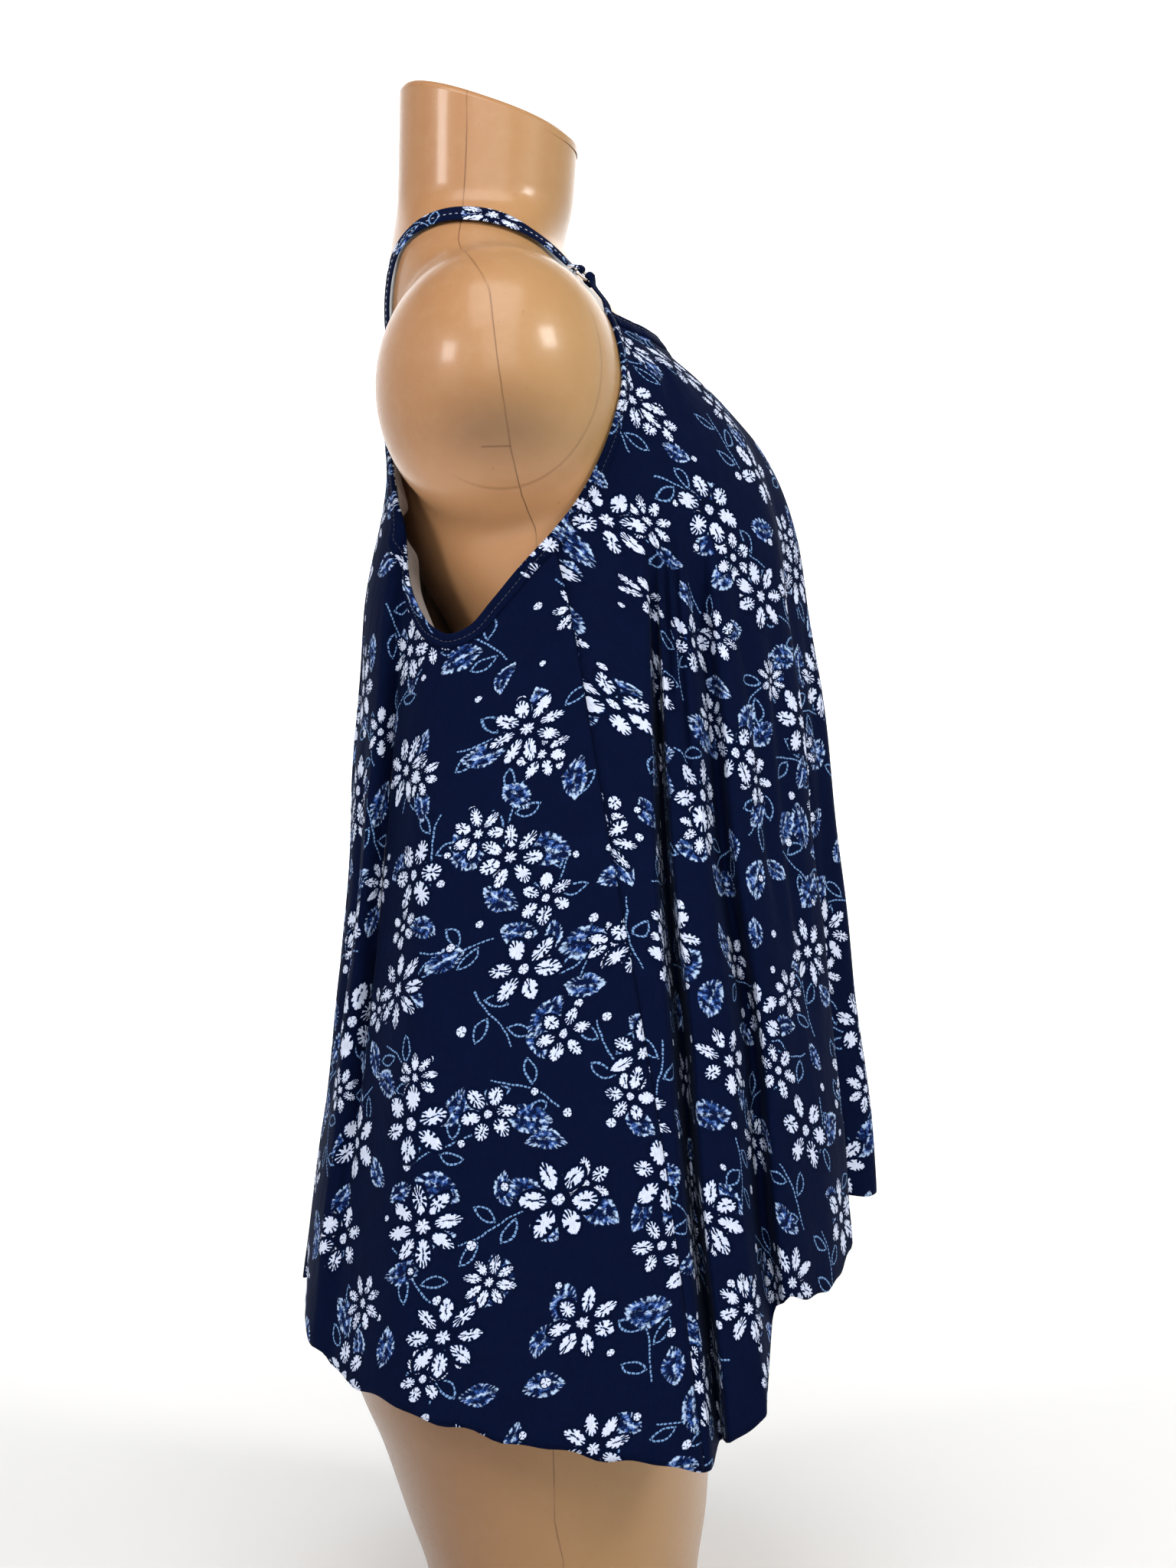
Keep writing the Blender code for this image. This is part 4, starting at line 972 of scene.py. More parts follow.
def leaves(x, y, jag, mottle, pitch, turn, seed, stray, size, chance):
    """Blue leaves with a pale stitched edge: the area, how pale and how blue each place is."""
    px, py, cu, cv, luck = cells(x, y, pitch, turn, seed, stray)
    qx, qy = turned(px, py, luck[0] * FULL_TURN)
    length = picked(luck[1], (size[0], size[1] - size[0]))
    shape, along, across = leaf_shape(qx, qy, length, length * picked(luck[2], LEAF["width"]),
                                      (luck[2] - 0.5) * LEAF["bend"])
    area = (shape + jag * LEAF["jag"]).rise(*LEAF["edge"]) * luck[3].over(1.0 - chance)
    edge = (shape + jag * LEAF["rim_jag"]).rise(*LEAF["rim_edge"])
    gaps = crackle(along, across, LEAF["cracks"], cu * 5.0 + cv * 3.0, jag)
    rib = (abs(across + jag * LEAF["rib_jag"]) - LEAF["rib_half"]).rise(*LEAF["rib_edge"])
    rib = rib * mottle.rise(*LEAF["rib_mottle"])
    slant = abs(across) * LEAF["slant"][0] + along * LEAF["slant"][1] + jag * LEAF["side_jag"]
    side = (abs(slant.fract() - 0.5) - LEAF["side_half"]).rise(*LEAF["side_edge"])
    side = side * mottle.rise(*LEAF["side_mottle"]) * LEAF["side_share"]
    fleck = (mottle + jag * LEAF["fleck_jag"]).rise(*LEAF["fleck_edge"]) * LEAF["fleck_share"]
    pale = (edge * (1.0 - gaps)).most(rib).most(side).most(fleck)
    return area, pale, (mottle + jag * LEAF["blue_jag"]).rise(*LEAF["blue_edge"])


def sprigs(x, y, pitch, turn, seed, stray, chance):
    """Thin dashed stems with outlined leaves."""
    px, py, _, _, luck = cells(x, y, pitch, turn, seed, stray)
    qx, qy = turned(px, py, luck[0] * FULL_TURN)

    def stem_height(at):
        return (at * STEM["wave"] + luck[1] * STEM["shift"]).sin() * STEM["swing"]

    dash = abs((qx / STEM["dash"]).fract() - 0.5).rise(*STEM["dash_edge"])
    ink = (abs(qy - stem_height(qx)) - STEM["half"]).rise(*STEM["side_edge"])
    ink = ink * (abs(qx) - STEM["reach"]).rise(*STEM["end_edge"]) * dash
    for at, lean, flip in SPRIG_LEAVES:
        off = stem_height(at) + flip * SPRIG_LEAF["off"]
        lx, ly = turned(qx - at, qy - off, math.radians(lean))
        shape, along, _ = leaf_shape(lx - SPRIG_LEAF["middle"], ly, SPRIG_LEAF["length"],
                                     SPRIG_LEAF["width"], flip)
        rim = (abs(shape - SPRIG_LEAF["rim"]) - SPRIG_LEAF["rim_half"]).rise(*SPRIG_LEAF["rim_edge"])
        ticks = abs((along * SPRIG_LEAF["ticks"]).fract() - 0.5).rise(*SPRIG_LEAF["tick_edge"])
        ink = ink.most(rim * ticks)
    return ink * luck[3].over(1.0 - chance)


def buds(x, y, jag, pitch, turn, seed, stray, chance):
    """Small white dots, each cut into four."""
    px, py, _, _, luck = cells(x, y, pitch, turn, seed, stray)
    qx, qy = turned(px, py, luck[0] * BUD["turn"])
    radius = distance(px, py) + jag * BUD["jag"]
    dot = (radius - picked(luck[1], BUD["radius"])).rise(*BUD["edge"])
    cross = (abs(qx).least(abs(qy)) - BUD["cut_half"]).rise(*BUD["cut_edge"]) * radius.rise(*BUD["cut_start"])
    here = luck[3].over(1.0 - chance)
    return dot * (1.0 - cross) * here, (radius - BUD["plot"]).rise(*BUD["plot_edge"]) * here


def inked(tree, ink, under, white):
    """A colour with white ink over it; where the ink thins out it turns blue."""
    thin = mix(tree, ink.rise(*THIN_EDGE) * THIN_SHARE, under, EDGE_BLUE)
    return mix(tree, ink.rise(*INK_EDGE), thin, white)


def print_colour(tree, x, y):
    """The printed cloth's colour and how much of it is ink."""
    place = vector(x, y)
    warp = noise(place, 0.55, 2.0, 0.6, colour=True)
    sway = noise(place, 0.09, 1.0, 0.5, colour=True)
    jag = (warp[0] - 0.5) * 2.0
    mottle = noise(place, 0.24, 3.0, 0.65)
    x, y = (at + (fine - 0.5) * STRAY_SMALL + (slow - 0.5) * STRAY_LARGE
            for at, fine, slow in ((x, warp[1], sway[0]), (y, warp[2], sway[1])))
    colour = mix(tree, noise(place, 0.05, 3.0, 0.6), NAVY[0], NAVY[1])
    stem = sprigs(x, y, **SPRIG_LAYER)
    colour = mix(tree, stem * 0.9, colour, STEM_BLUE)
    total = stem
    for layer in LEAF_LAYERS:
        area, pale, blue = leaves(x, y, jag, mottle, **layer)
        inside = mix(tree, blue, LEAF_BLUES[0], LEAF_BLUES[1])
        inside = mix(tree, pale, inside, mix(tree, mottle, LEAF_PALES[0], LEAF_PALES[1]))
        colour = mix(tree, area, colour, inside)
        total = total.most(area * pale)
    ink, plot = buds(x, y, jag, **BUD_LAYER)
    white = mix(tree, warp[1], WHITES[0], WHITES[1])
    colour = inked(tree, ink, mix(tree, plot, colour, NAVY[0]), white)
    total = total.most(ink)
    for layer in FLOWER_LAYERS:
        ink, plot = flowers(x, y, jag, **layer)
        colour = inked(tree, ink, mix(tree, plot, colour, NAVY[0]), white)
        total = (total * (1.0 - plot)).most(ink)
    return colour, total


def knit(tree, x, y):
    """The jersey's fine upright ribs over a softer unevenness: its bump, and the ribs."""
    ribs = noise(vector(x, y * 0.10), 2.1, 2.0, 0.7)
    soft = noise(vector(x, y * 0.5), 0.12, 2.0, 0.5)
    return bump(tree, ribs, KNIT_BUMP, bump(tree, soft, SOFT_BUMP)), ribs


def jersey(name, printed):
    """Navy jersey, with or without its print; the ink is a little glossier than the cloth."""
    mat, tree, shader = new_material(name, Roughness=0.85, **KNIT_SHEEN)
    x, y = cloth_place(tree)
    if printed:
        colour, ink = print_colour(tree, x, y)
        put(tree, ink * -0.08 + 0.84, shader.inputs["Roughness"])
    else:
        colour = mix(tree, noise(vector(x, y), 0.08, 3.0, 0.6), NAVY[0], NAVY[1])
    normal, ribs = knit(tree, x, y)
    shade = mix(tree, ribs.rise(0.25, 0.75) * (0.30 if printed else 0.35), colour, KNIT_SHADE)
    put(tree, shade, shader.inputs["Base Color"])
    put(tree, normal, shader.inputs["Normal"])
    return mat


def wrong_side(name):
    """The inside of the cloth: dull grey-brown, with the print only just coming through."""
    mat, tree, shader = new_material(name, Roughness=0.9, Sheen_Weight=0.15, Specular_IOR_Level=0.2)
    x, y = cloth_place(tree)
    ghost = noise(vector(x, y), 0.06, 3.0, 0.6).rise(0.48, 0.62)
    colour = mix(tree, ghost * 0.5, WRONG_SIDE_COLOURS[0], WRONG_SIDE_COLOURS[1])
    normal, ribs = knit(tree, x, y)
    put(tree, mix(tree, ribs * 0.25, colour, WRONG_SIDE_COLOURS[2]), shader.inputs["Base Color"])
    put(tree, normal, shader.inputs["Normal"])
    return mat


def thread(name, colour, dark):
    """Twisted sewing thread."""
    mat, tree, shader = new_material(name, Roughness=0.6, Sheen_Weight=0.3)
    fuzz = noise(object_place(tree), 2600.0, 2.0, 0.6)
    put(tree, mix(tree, fuzz, colour, dark), shader.inputs["Base Color"])
    put(tree, bump(tree, fuzz, 0.0001), shader.inputs["Normal"])
    return mat


def ring_metal(name):
    """Bright plated wire with small scuffs."""
    mat, tree, shader = new_material(name, Metallic=1.0)
    place = object_place(tree)
    scuff = noise(place, 900.0, 3.0, 0.6)
    put(tree, mix(tree, scuff, (0.80, 0.80, 0.82), (0.60, 0.60, 0.63)), shader.inputs["Base Color"])
    put(tree, scuff.rise(0.45, 0.75) * 0.22 + 0.12, shader.inputs["Roughness"])
    put(tree, bump(tree, noise(place, 500.0, 2.0, 0.5), 0.00004), shader.inputs["Normal"])
    return mat


# ---------------------------------------------------------------- the dress form's plastic


def curve_signal(value, table, low, high, start, end):
    """Reads a table of (input, output) rows; inputs lie in start..end and outputs in low..high."""
    node = value.tree.nodes.new("ShaderNodeFloatCurve")
    curve = node.mapping.curves[0]
    while len(curve.points) < len(table):
        curve.points.new(0.5, 0.5)
    for point, (x, y) in zip(curve.points, sorted(table)):
        point.location = ((x - start) / (end - start), (y - low) / (high - low))
        point.handle_type = "VECTOR"
    node.mapping.update()
    put(value.tree, (value - start) / (end - start), node.inputs["Value"])
    return Signal(value.tree, node.outputs[0]) * (high - low) + low


def oval(y, z, middle_y, middle_z, half_y, half_z):
    """How far out a place is in an oval, 1 at its edge, and the place itself in half sizes."""
    across, up = (y - middle_y) / half_y, (z - middle_z) / half_z
    return distance(across, up), across, up


def mould_marks(place):
    """The mould seam's dark line and its ridge, the arm cap's rim and the short tick on the seam."""
    x, y, z = parts(place)
    seam = y - curve_signal(z, MOULD_SEAM, -SEAM_RANGE, SEAM_RANGE, 0.0, 1.0)
    off = abs(seam + (noise(place, 60.0, 2.0, 0.5) - 0.5) * SEAM_WOBBLE)
    side = abs(x).rise(*SEAM_SIDE)
    line = (off - SEAM_HALF).rise(*SEAM_EDGE) * side
    ridge = off.rise(SEAM_HALF * 3.0, 0.0) * side
    out, across, up = oval(y, z, ARM_CAP["behind"], ARM_CAP["height"], ARM_CAP["half_depth"],
                           ARM_CAP["half_height"])
    rim = abs(out - 1.0) * ARM_CAP["half_depth"]
    cap = (rim - CAP_HALF).rise(*CAP_EDGE) * abs(x).rise(*CAP_SIDE) * (up + across).rise(*CAP_FADE)
    along = y - TICK["start"]
    tick = (abs(z - TICK["height"] + along * TICK_TILT) - TICK_HALF).rise(*TICK_EDGE)
    tick = tick * along.rise(*TICK_START_EDGE) * (y - TICK["end"]).rise(*TICK_END_EDGE)
    return line, ridge, cap, tick


def plastic_tint(tree, place, cloud, grain):
    """The plastic's colour before its marks, with painted light and shade: a rosier, darker back half, shade
    towards the bottom, on the dome and at the back of the hips, and light in a band just below the shoulder
    domes.
    """
    x, y, z = parts(place)
    # Painted light: the back half is coloured rosier and darker, standing in for the pinker light from
    # behind.
    painted_rosy_light = (y + (cloud - 0.5) * 0.06).rise(*PAINTED_ROSY_LIGHT_EDGE)
    colour = mix(tree, painted_rosy_light, PLASTIC["front"], PLASTIC["back"])
    colour = mix(tree, grain.rise(0.40, 0.75) * 0.25, colour, PLASTIC["grain"])
    # Painted shade: darker towards the bottom.
    painted_low_shade = (z + (cloud - 0.5) * 0.10).rise(*PAINTED_LOW_SHADE_EDGE)
    colour = mix(tree, painted_low_shade * 0.35, colour, PLASTIC["low"])
    # Painted shade: a darker patch on the dome's lower middle.
    painted_dome_shade = oval(y, z, *DOME_SHADE)[0].rise(*PAINTED_DOME_SHADE_EDGE) * abs(x).rise(0.08, 0.12)
    # Painted shade at the back of the hips.
    painted_hip_shade = y.rise(*PAINTED_HIP_SHADE_EDGE) * z.rise(*PAINTED_HIP_SHADE_HEIGHT)
    colour = mix(tree, painted_dome_shade.most(painted_hip_shade) * 0.58, colour, PLASTIC["shade"])
    # Painted light: a paler band just below the shoulder domes.
    chest = z.rise(*PAINTED_CHEST_LIGHT_START) * z.rise(*PAINTED_CHEST_LIGHT_END)
    colour = mix(tree, chest * 0.8, colour, PLASTIC["chest"])
    specks = noise(place, 420.0, 1.0, 0.5).rise(0.76, 0.80)
    return mix(tree, specks * 0.35, colour, PLASTIC["speck"])


def form_plastic(name):
    """Flesh-tinted moulded plastic: cloudy colour with painted light and shade, a glossy skin, and its mould
    seams.
    """
    mat, tree, shader = new_material(name, Specular_IOR_Level=0.30, Coat_Weight=0.32, Coat_Roughness=0.16)
    place = object_place(tree)
    line, ridge, cap, tick = mould_marks(place)
    cloud, grain = noise(place, 5.0, 3.0, 0.55), noise(place, 95.0, 4.0, 0.65)
    fade = noise(place, 28.0, 2.0, 0.5).rise(0.34, 0.55)
    dark = (line * (fade * 0.6 + 0.4)).most(cap * 0.35).most(tick * 0.7)
    colour = mix(tree, dark * 0.8, plastic_tint(tree, place, cloud, grain), PLASTIC["seam"])
    put(tree, colour, shader.inputs["Base Color"])
    scratch = noise(place, 300.0, 3.0, 0.7)
    put(tree, scratch.rise(0.45, 0.8) * 0.10 + 0.36, shader.inputs["Roughness"])
    relief = bump(tree, ridge - line * 0.8 - cap * 0.3 - tick * 0.5, SEAM_RELIEF)
    relief = bump(tree, grain, 0.00012, relief)
    put(tree, bump(tree, cloud, 0.0012, relief), shader.inputs["Normal"])
    return mat


def stage_material(name):
    mat, tree, shader = new_material(name, Roughness=0.9, Specular_IOR_Level=0.1)
    grain = noise(object_place(tree), 4.0, 3.0, 0.5)
    put(tree, mix(tree, grain, STAGE_COLOURS[0], STAGE_COLOURS[1]), shader.inputs["Base Color"])
    return mat


PRINT = jersey("printed jersey", True)
WRONG_SIDE = wrong_side("printed jersey, wrong side")
BAND = jersey("navy jersey", False)
DARK_THREAD = thread("navy thread", (0.012, 0.020, 0.070), (0.004, 0.007, 0.025))
PALE_THREAD = thread("pale thread", (0.62, 0.66, 0.76), (0.35, 0.40, 0.55))
METAL = ring_metal("plated wire")
FORM_PLASTIC = form_plastic("tan plastic")

# ---------------------------------------------------------------- meshes


def linked(name, data):
    """A new object in the scene."""
    obj = bpy.data.objects.new(name, data)
    bpy.context.collection.objects.link(obj)
    return obj


def add_piece(name, points, faces, materials, slots=None, uv=None):
    """A smooth-shaded piece; uv holds metres on the flat cloth for each point."""
    mesh = bpy.data.meshes.new(name)
    mesh.from_pydata(np.asarray(points).tolist(), [], faces)
    mesh.shade_smooth()
    for mat in materials:
        mesh.materials.append(mat)
    if slots is not None:
        mesh.polygons.foreach_set("material_index", slots)
    if uv is not None:
        corners = np.empty(len(mesh.loops), np.int32)
        mesh.loops.foreach_get("vertex_index", corners)
        layer = mesh.uv_layers.new(name=CLOTH_MAP)
        layer.data.foreach_set("uv", np.asarray(uv, np.float32)[corners].ravel())
    return linked(name, mesh)


def tube_faces(rings, sides, base=0):
    """Faces between rings of points that follow each other, ring after ring."""
    faces = []
    for first in range(base, base + (rings - 1) * sides, sides):
        for i in range(sides):
            a, b = first + i, first + (i + 1) % sides
            faces.append((a, b, b + sides, a + sides))
    return faces


def grid_normals(grid):
    """Unit normals of a grid of points, rows by columns."""
    return unit(np.cross(np.gradient(grid, axis=1), np.gradient(grid, axis=0)))


def wall(name, grid, normals, inner_lift, outer_lift, materials, uv):
    """A closed wall between two copies of a grid, moved along normals; the last material is inside."""
    if np.sum(grid_normals(grid) * normals) < 0:
        grid, normals, uv = grid[:, ::-1], normals[:, ::-1], uv[:, ::-1]
        inner_lift, outer_lift = (x[..., ::-1] if np.ndim(x) else x for x in (inner_lift, outer_lift))
    rows, cols = grid.shape[:2]
    lift = [np.broadcast_to(x, (rows, cols))[..., None] for x in (outer_lift, inner_lift)]
    points = np.concatenate([(grid + normals * x).reshape(-1, 3) for x in lift])
    size = rows * cols
    corner = np.arange(size).reshape(rows, cols)[:-1, :-1].ravel()
    outer = np.stack([corner, corner + 1, corner + cols + 1, corner + cols], 1)
    rim = list(range(cols)) + [r * cols + cols - 1 for r in range(1, rows)]
    rim += list(range(size - 2, size - cols - 1, -1)) + [r * cols for r in range(rows - 2, 0, -1)]
    faces = outer.tolist() + (outer[:, ::-1] + size).tolist()
    faces += [(b, a, size + a, size + b) for a, b in zip(rim, rim[1:] + rim[:1])]
    slots = [0] * len(outer) + [len(materials) - 1] * len(outer) + [0] * len(rim)
    return add_piece(name, points, faces, materials, slots, np.concatenate([uv.reshape(-1, 2)] * 2))


def declare(piece, slot, *nodes):
    """Attaches a piece to the root body and hides any nodes that it replaces; the slot is not used."""
    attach(piece, "root")
    if nodes:
        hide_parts(*nodes)
    return piece


# ---------------------------------------------------------------- the panels


def line_place(place, z):
    """Signed angle at a place across the cloth; whole places are its lines, from 0 at the centre front."""
    place, z = paired(place, z)
    angle = np.zeros(place.shape)
    for side in (-1, 1):
        mine = (place < 0) == (side < 0)
        where = np.abs(place[mine])
        lines = line_angles(side, z[mine])
        k = np.minimum(where.astype(int), len(lines) - 2)
        pick = np.arange(k.size)
        angle[mine] = side * (lines[k, pick] + (lines[k + 1, pick] - lines[k, pick]) * (where - k))
    return angle - wander(angle, z)


def even_places(first, last, pitch):
    """Places across the cloth, about as far apart on its folded surface from the first to the last."""
    place = np.linspace(first, last, PLACE_SAMPLES)
    length = np.zeros_like(place)
    for z in PITCH_LEVELS:
        points = surface(line_place(place, z), z)
        length[1:] += np.linalg.norm(np.diff(points, axis=0), axis=1) / len(PITCH_LEVELS)
    middle, spread, gain = FINE_PLACE
    length *= 1 + gain * np.exp(-((np.abs(line_place(place, PITCH_LEVELS[-1])) - middle) / spread) ** 2)
    length = np.cumsum(length)
    count = int(round(length[-1] / pitch)) + 1
    return np.interp(np.linspace(0.0, length[-1], count), length, place)


def settle(place, height_at, start):
    """Height at which each place across the cloth meets an edge, given as a height for each angle."""
    z = np.full(place.shape, start)
    for _ in range(SETTLE_ROUNDS):
        z = 0.5 * z + 0.5 * height_at(line_place(place, z))
    return z


def neckline_height(angle):
    return smooth(np.abs(angle) / smooth(FRONT_CORNER[1], ARMHOLE_FRONT), NECKLINE)


def back_edge(angle):
    """Height of the armhole and the back neckline; the left armhole has ridden up a little."""
    rise, middle, spread = LEFT_ARMHOLE
    angle = wrapped(angle)
    turn = np.abs(angle)
    ridden = np.exp(-((turn - middle) / spread) ** 2) * ease((turn - BACK_TOP[0][0]) / spread)
    return smooth(turn, BACK_TOP) + ridden * rise * (angle > 0)


def front_surface():
    """Angles and heights of the front, rows by columns, from the hem to the neckline."""
    place = even_places(-SEAM_INDEX, SEAM_INDEX, FRONT_PITCH)
    low, high = settle(place, hem_height, SEAM_HEM), settle(place, neckline_height, FRONT_CORNER[1])
    rows = np.linspace(0.0, 1.0, LOW_ROWS)[:, None]
    upper = np.linspace(0.0, 1.0, HIGH_ROWS)[1:, None]
    height = np.concatenate([low + (SEAM_TOP - low) * rows, SEAM_TOP + (high - SEAM_TOP) * upper])
    return line_place(np.broadcast_to(place, height.shape), height), height


def back_surface():
    """Angles and heights of the back from the right seam round to the left one."""
    rows = np.linspace(0.0, 1.0, LOW_ROWS)[:, None]
    angles, heights = [], []
    for side in (-1, 1):
        place = side * even_places(SEAM_INDEX, len(LINES[side]) - 1, BACK_PITCH)
        low, high = settle(place, hem_height, SEAM_HEM), settle(place, back_edge, SEAM_TOP)
        height = low + (high - low) * rows
        off = side * SEAM_GAP_TURN * (1 - np.linspace(0.0, 1.0, len(place)))
        angles.append(line_place(np.broadcast_to(place, height.shape), height) + off)
        heights.append(height)
    return (np.concatenate([angles[0], angles[1][:, -2::-1]], axis=1),
            np.concatenate([heights[0], heights[1][:, -2::-1]], axis=1))


def panel(name, angle, height, node):
    """A panel of printed jersey with its wrong side showing inside."""
    grid = surface(angle, height)
    normals = grid_normals(grid)
    if np.sum(normals * heading(angle)) < 0:
        normals = -normals
    piece = wall(name, grid, normals, -THIN_CLOTH, 0.0, [PRINT, WRONG_SIDE],
                 on_cloth(angle, height, node == "back"))
    return declare(piece, "printed_jersey", node)


def seam_allowance(side):
    """The two panels' turned-in edges, seen as a dark strip behind the side seam."""
    hem = hem_height(np.array([side * SEAM[0][1]]))[0]
    height = np.arange(hem + ALLOWANCE_TRIM, SEAM_TOP - ALLOWANCE_TRIM, STATION)
    spread = np.linspace(-ALLOWANCE_TURN, ALLOWANCE_TURN, ALLOWANCE_COLUMNS)
    turn = side * (smooth(height, SEAM)[:, None] + spread)
    z = np.broadcast_to(height[:, None], turn.shape)
    grid = surface(turn, z)
    normals = surface_normal(turn, z)
    inner, outer = (-THIN_CLOTH - lift for lift in ALLOWANCE_LIFT)
    piece = wall("side_seam_" + SIDE_NAMES[side], grid, normals, inner, outer, [BAND], on_cloth(turn, z))
    declare(piece, "printed_jersey")


def armhole_facing(side):
    """The cloth's wrong side, turned in toward the body along the armhole's back edge."""
    angle, height = armhole_edge(side)
    keep = np.abs(angle) > FACING_START
    angle, height = angle[keep], height[keep]
    edge, normals = surface(angle, height), surface_normal(angle, height)
    across = np.linspace(0.0, 1.0, FACING_COLUMNS)
    ends = np.linspace(0.0, 1.0, len(edge))
    deep = np.zeros(len(edge))
    for trial in np.linspace(0.0, FACING_DEPTH, FACING_TRIALS):
        p = edge - normals * (THIN_CLOTH + trial)
        deep = np.where(form_field(p[:, 0], p[:, 1], p[:, 2]) > FACING_FREE, trial, deep)
    taper = ease(ends / FACING_ENDS[0]) * ease((1 - ends) / FACING_ENDS[1])
    deep = blurred(deep, FACING_BLUR, 0) * taper
    grid = edge[:, None] - normals[:, None] * (THIN_CLOTH + deep[:, None] * across)[..., None]
    aim = unit(np.cross(normals, unit(np.gradient(edge, axis=0)))) * ARM_SIDE[side]
    grid = grid + aim[:, None] * (across ** 2 * taper[:, None] * FACING_SHOW)[..., None]
    toward = np.broadcast_to(aim[:, None], grid.shape)
    uv = on_cloth(np.broadcast_to(angle[:, None], grid.shape[:2]), height[:, None] + across * FACING_DEPTH)
    piece = wall("armhole_facing_" + SIDE_NAMES[side], grid, toward, 0.0, FACING_WALL, [WRONG_SIDE], uv)
    declare(piece, "printed_jersey")


# ---------------------------------------------------------------- bands and stitches


def inward(angle, height, distance):
    """Angles and heights at distances in from an edge, square to it on the cloth, to its left as it runs."""
    p = surface(angle, height)
    run = unit(np.gradient(p, axis=0))
    normal = surface_normal(angle, height)
    aim = np.cross(normal, run)
    turn = (surface(angle + EDGE_TURN, height) - surface(angle - EDGE_TURN, height)) / (2 * EDGE_TURN)
    lift = (surface(angle, height + EDGE_RISE) - surface(angle, height - EDGE_RISE)) / (2 * EDGE_RISE)
    tt, tl, ll = (np.sum(a * b, -1) for a, b in ((turn, turn), (turn, lift), (lift, lift)))
    at, al = np.sum(aim * turn, -1), np.sum(aim * lift, -1)
    det = tt * ll - tl * tl
    da, dz = (at * ll - al * tl) / det, (al * tt - at * tl) / det
    return angle[:, None] + da[:, None] * distance, height[:, None] + dz[:, None] * distance


def armhole_edge(side):
    """The armhole from the front strap down to the seam and up to the back strap."""
    z = np.linspace(FRONT_CORNER[1], SEAM_TOP, EDGE_SAMPLES[0])
    back = np.linspace(seam_angle(SEAM_TOP - 1e-6), BACK_STRAP[0], EDGE_SAMPLES[1])[1:]
    angle = np.concatenate([smooth(z, ARMHOLE_FRONT), back])
    height = np.concatenate([z, back_edge(side * back)])
    return even_steps(side * angle, height, STATION)


def even_steps(angle, height, pitch):
    """The same line with stations at even distances."""
    length = run_length(surface(angle, height))
    s = np.linspace(0.0, length[-1], int(round(length[-1] / pitch)) + 1)
    return np.interp(s, length, angle), np.interp(s, length, height)


def band(name, angle, height, width, side, node, mat):
    """A folded band round an edge, with a groove along its topstitch; side is +1 if it lies to the left."""
    share = np.linspace(0.0, 1.0, BAND_COLUMNS)
    distance = side * (share * width - BAND_OVERHANG)
    a, z = inward(angle, height, distance)
    grid = surface(a, z)
    normals = surface_normal(a, z)
    groove = np.exp(-((share * width - TOPSTITCH) / GROOVE_WIDTH) ** 2)
    edge = (2 * share - 1) ** BAND_EDGE
    pucker = 1 + GROOVE_PUCKER * np.sin(np.arange(len(angle)) * FULL_TURN * STATION / STITCH_PITCH)[:, None]
    lift = BAND_LIFT + BAND_CLOTH * (1 - edge) - BAND_GROOVE * groove * pucker
    dip, sink, least = BAND_TUCK
    low = BAND_LIFT * (1 - dip * edge) - sink
    piece = wall(name, grid, normals, low, np.maximum(lift, low + least), [mat], on_cloth(a, z))
    declare(piece, "band_jersey", node)
    run_angle, run_height = inward(angle, height, np.array([side * (TOPSTITCH - BAND_OVERHANG)]))
    line = surface(run_angle[:, 0], run_height[:, 0])
    out = surface_normal(run_angle[:, 0], run_height[:, 0])
    line = line + out * (BAND_LIFT + BAND_CLOTH - BAND_GROOVE * STITCH_DEPTH)
    thread = stitches(name + "_topstitch", line, out, STITCH_PITCH, STITCH_THREAD, DARK_THREAD)
    declare(thread, "band_jersey")
    return piece


def stitches(name, line, out, pitch, radius, mat):
    """A row of short threads along a line: each dives into the cloth at both ends."""
    length = run_length(line)
    starts = np.arange(pitch * STITCH_START, length[-1] - pitch, pitch)
    points, faces = [], []
    for s in starts:
        t = s + np.linspace(0.0, STITCH_FILL * pitch, STITCH_RINGS)
        middle = np.stack([np.interp(t, length, line[:, i]) for i in range(3)], -1)
        up = unit(np.stack([np.interp(t, length, out[:, i]) for i in range(3)], -1))
        run = unit(np.gradient(middle, axis=0))
        across = np.cross(run, up)
        base = len(points)
        for i in range(STITCH_RINGS):
            arch, girth = STITCH_ARCH[i] * radius, STITCH_GIRTH[i] * radius
            for turn in (FULL_TURN * j / STITCH_SIDES for j in range(STITCH_SIDES)):
                points.append(middle[i] + up[i] * (arch + girth * math.sin(turn))
                              + across[i] * (girth * math.cos(turn)))
        faces += tube_faces(STITCH_RINGS, STITCH_SIDES, base)
        faces.append(tuple(base + j for j in range(STITCH_SIDES - 1, -1, -1)))
        faces.append(tuple(base + (STITCH_RINGS - 1) * STITCH_SIDES + j for j in range(STITCH_SIDES)))
    return add_piece(name, points, faces, [mat])


# ---------------------------------------------------------------- the dress form


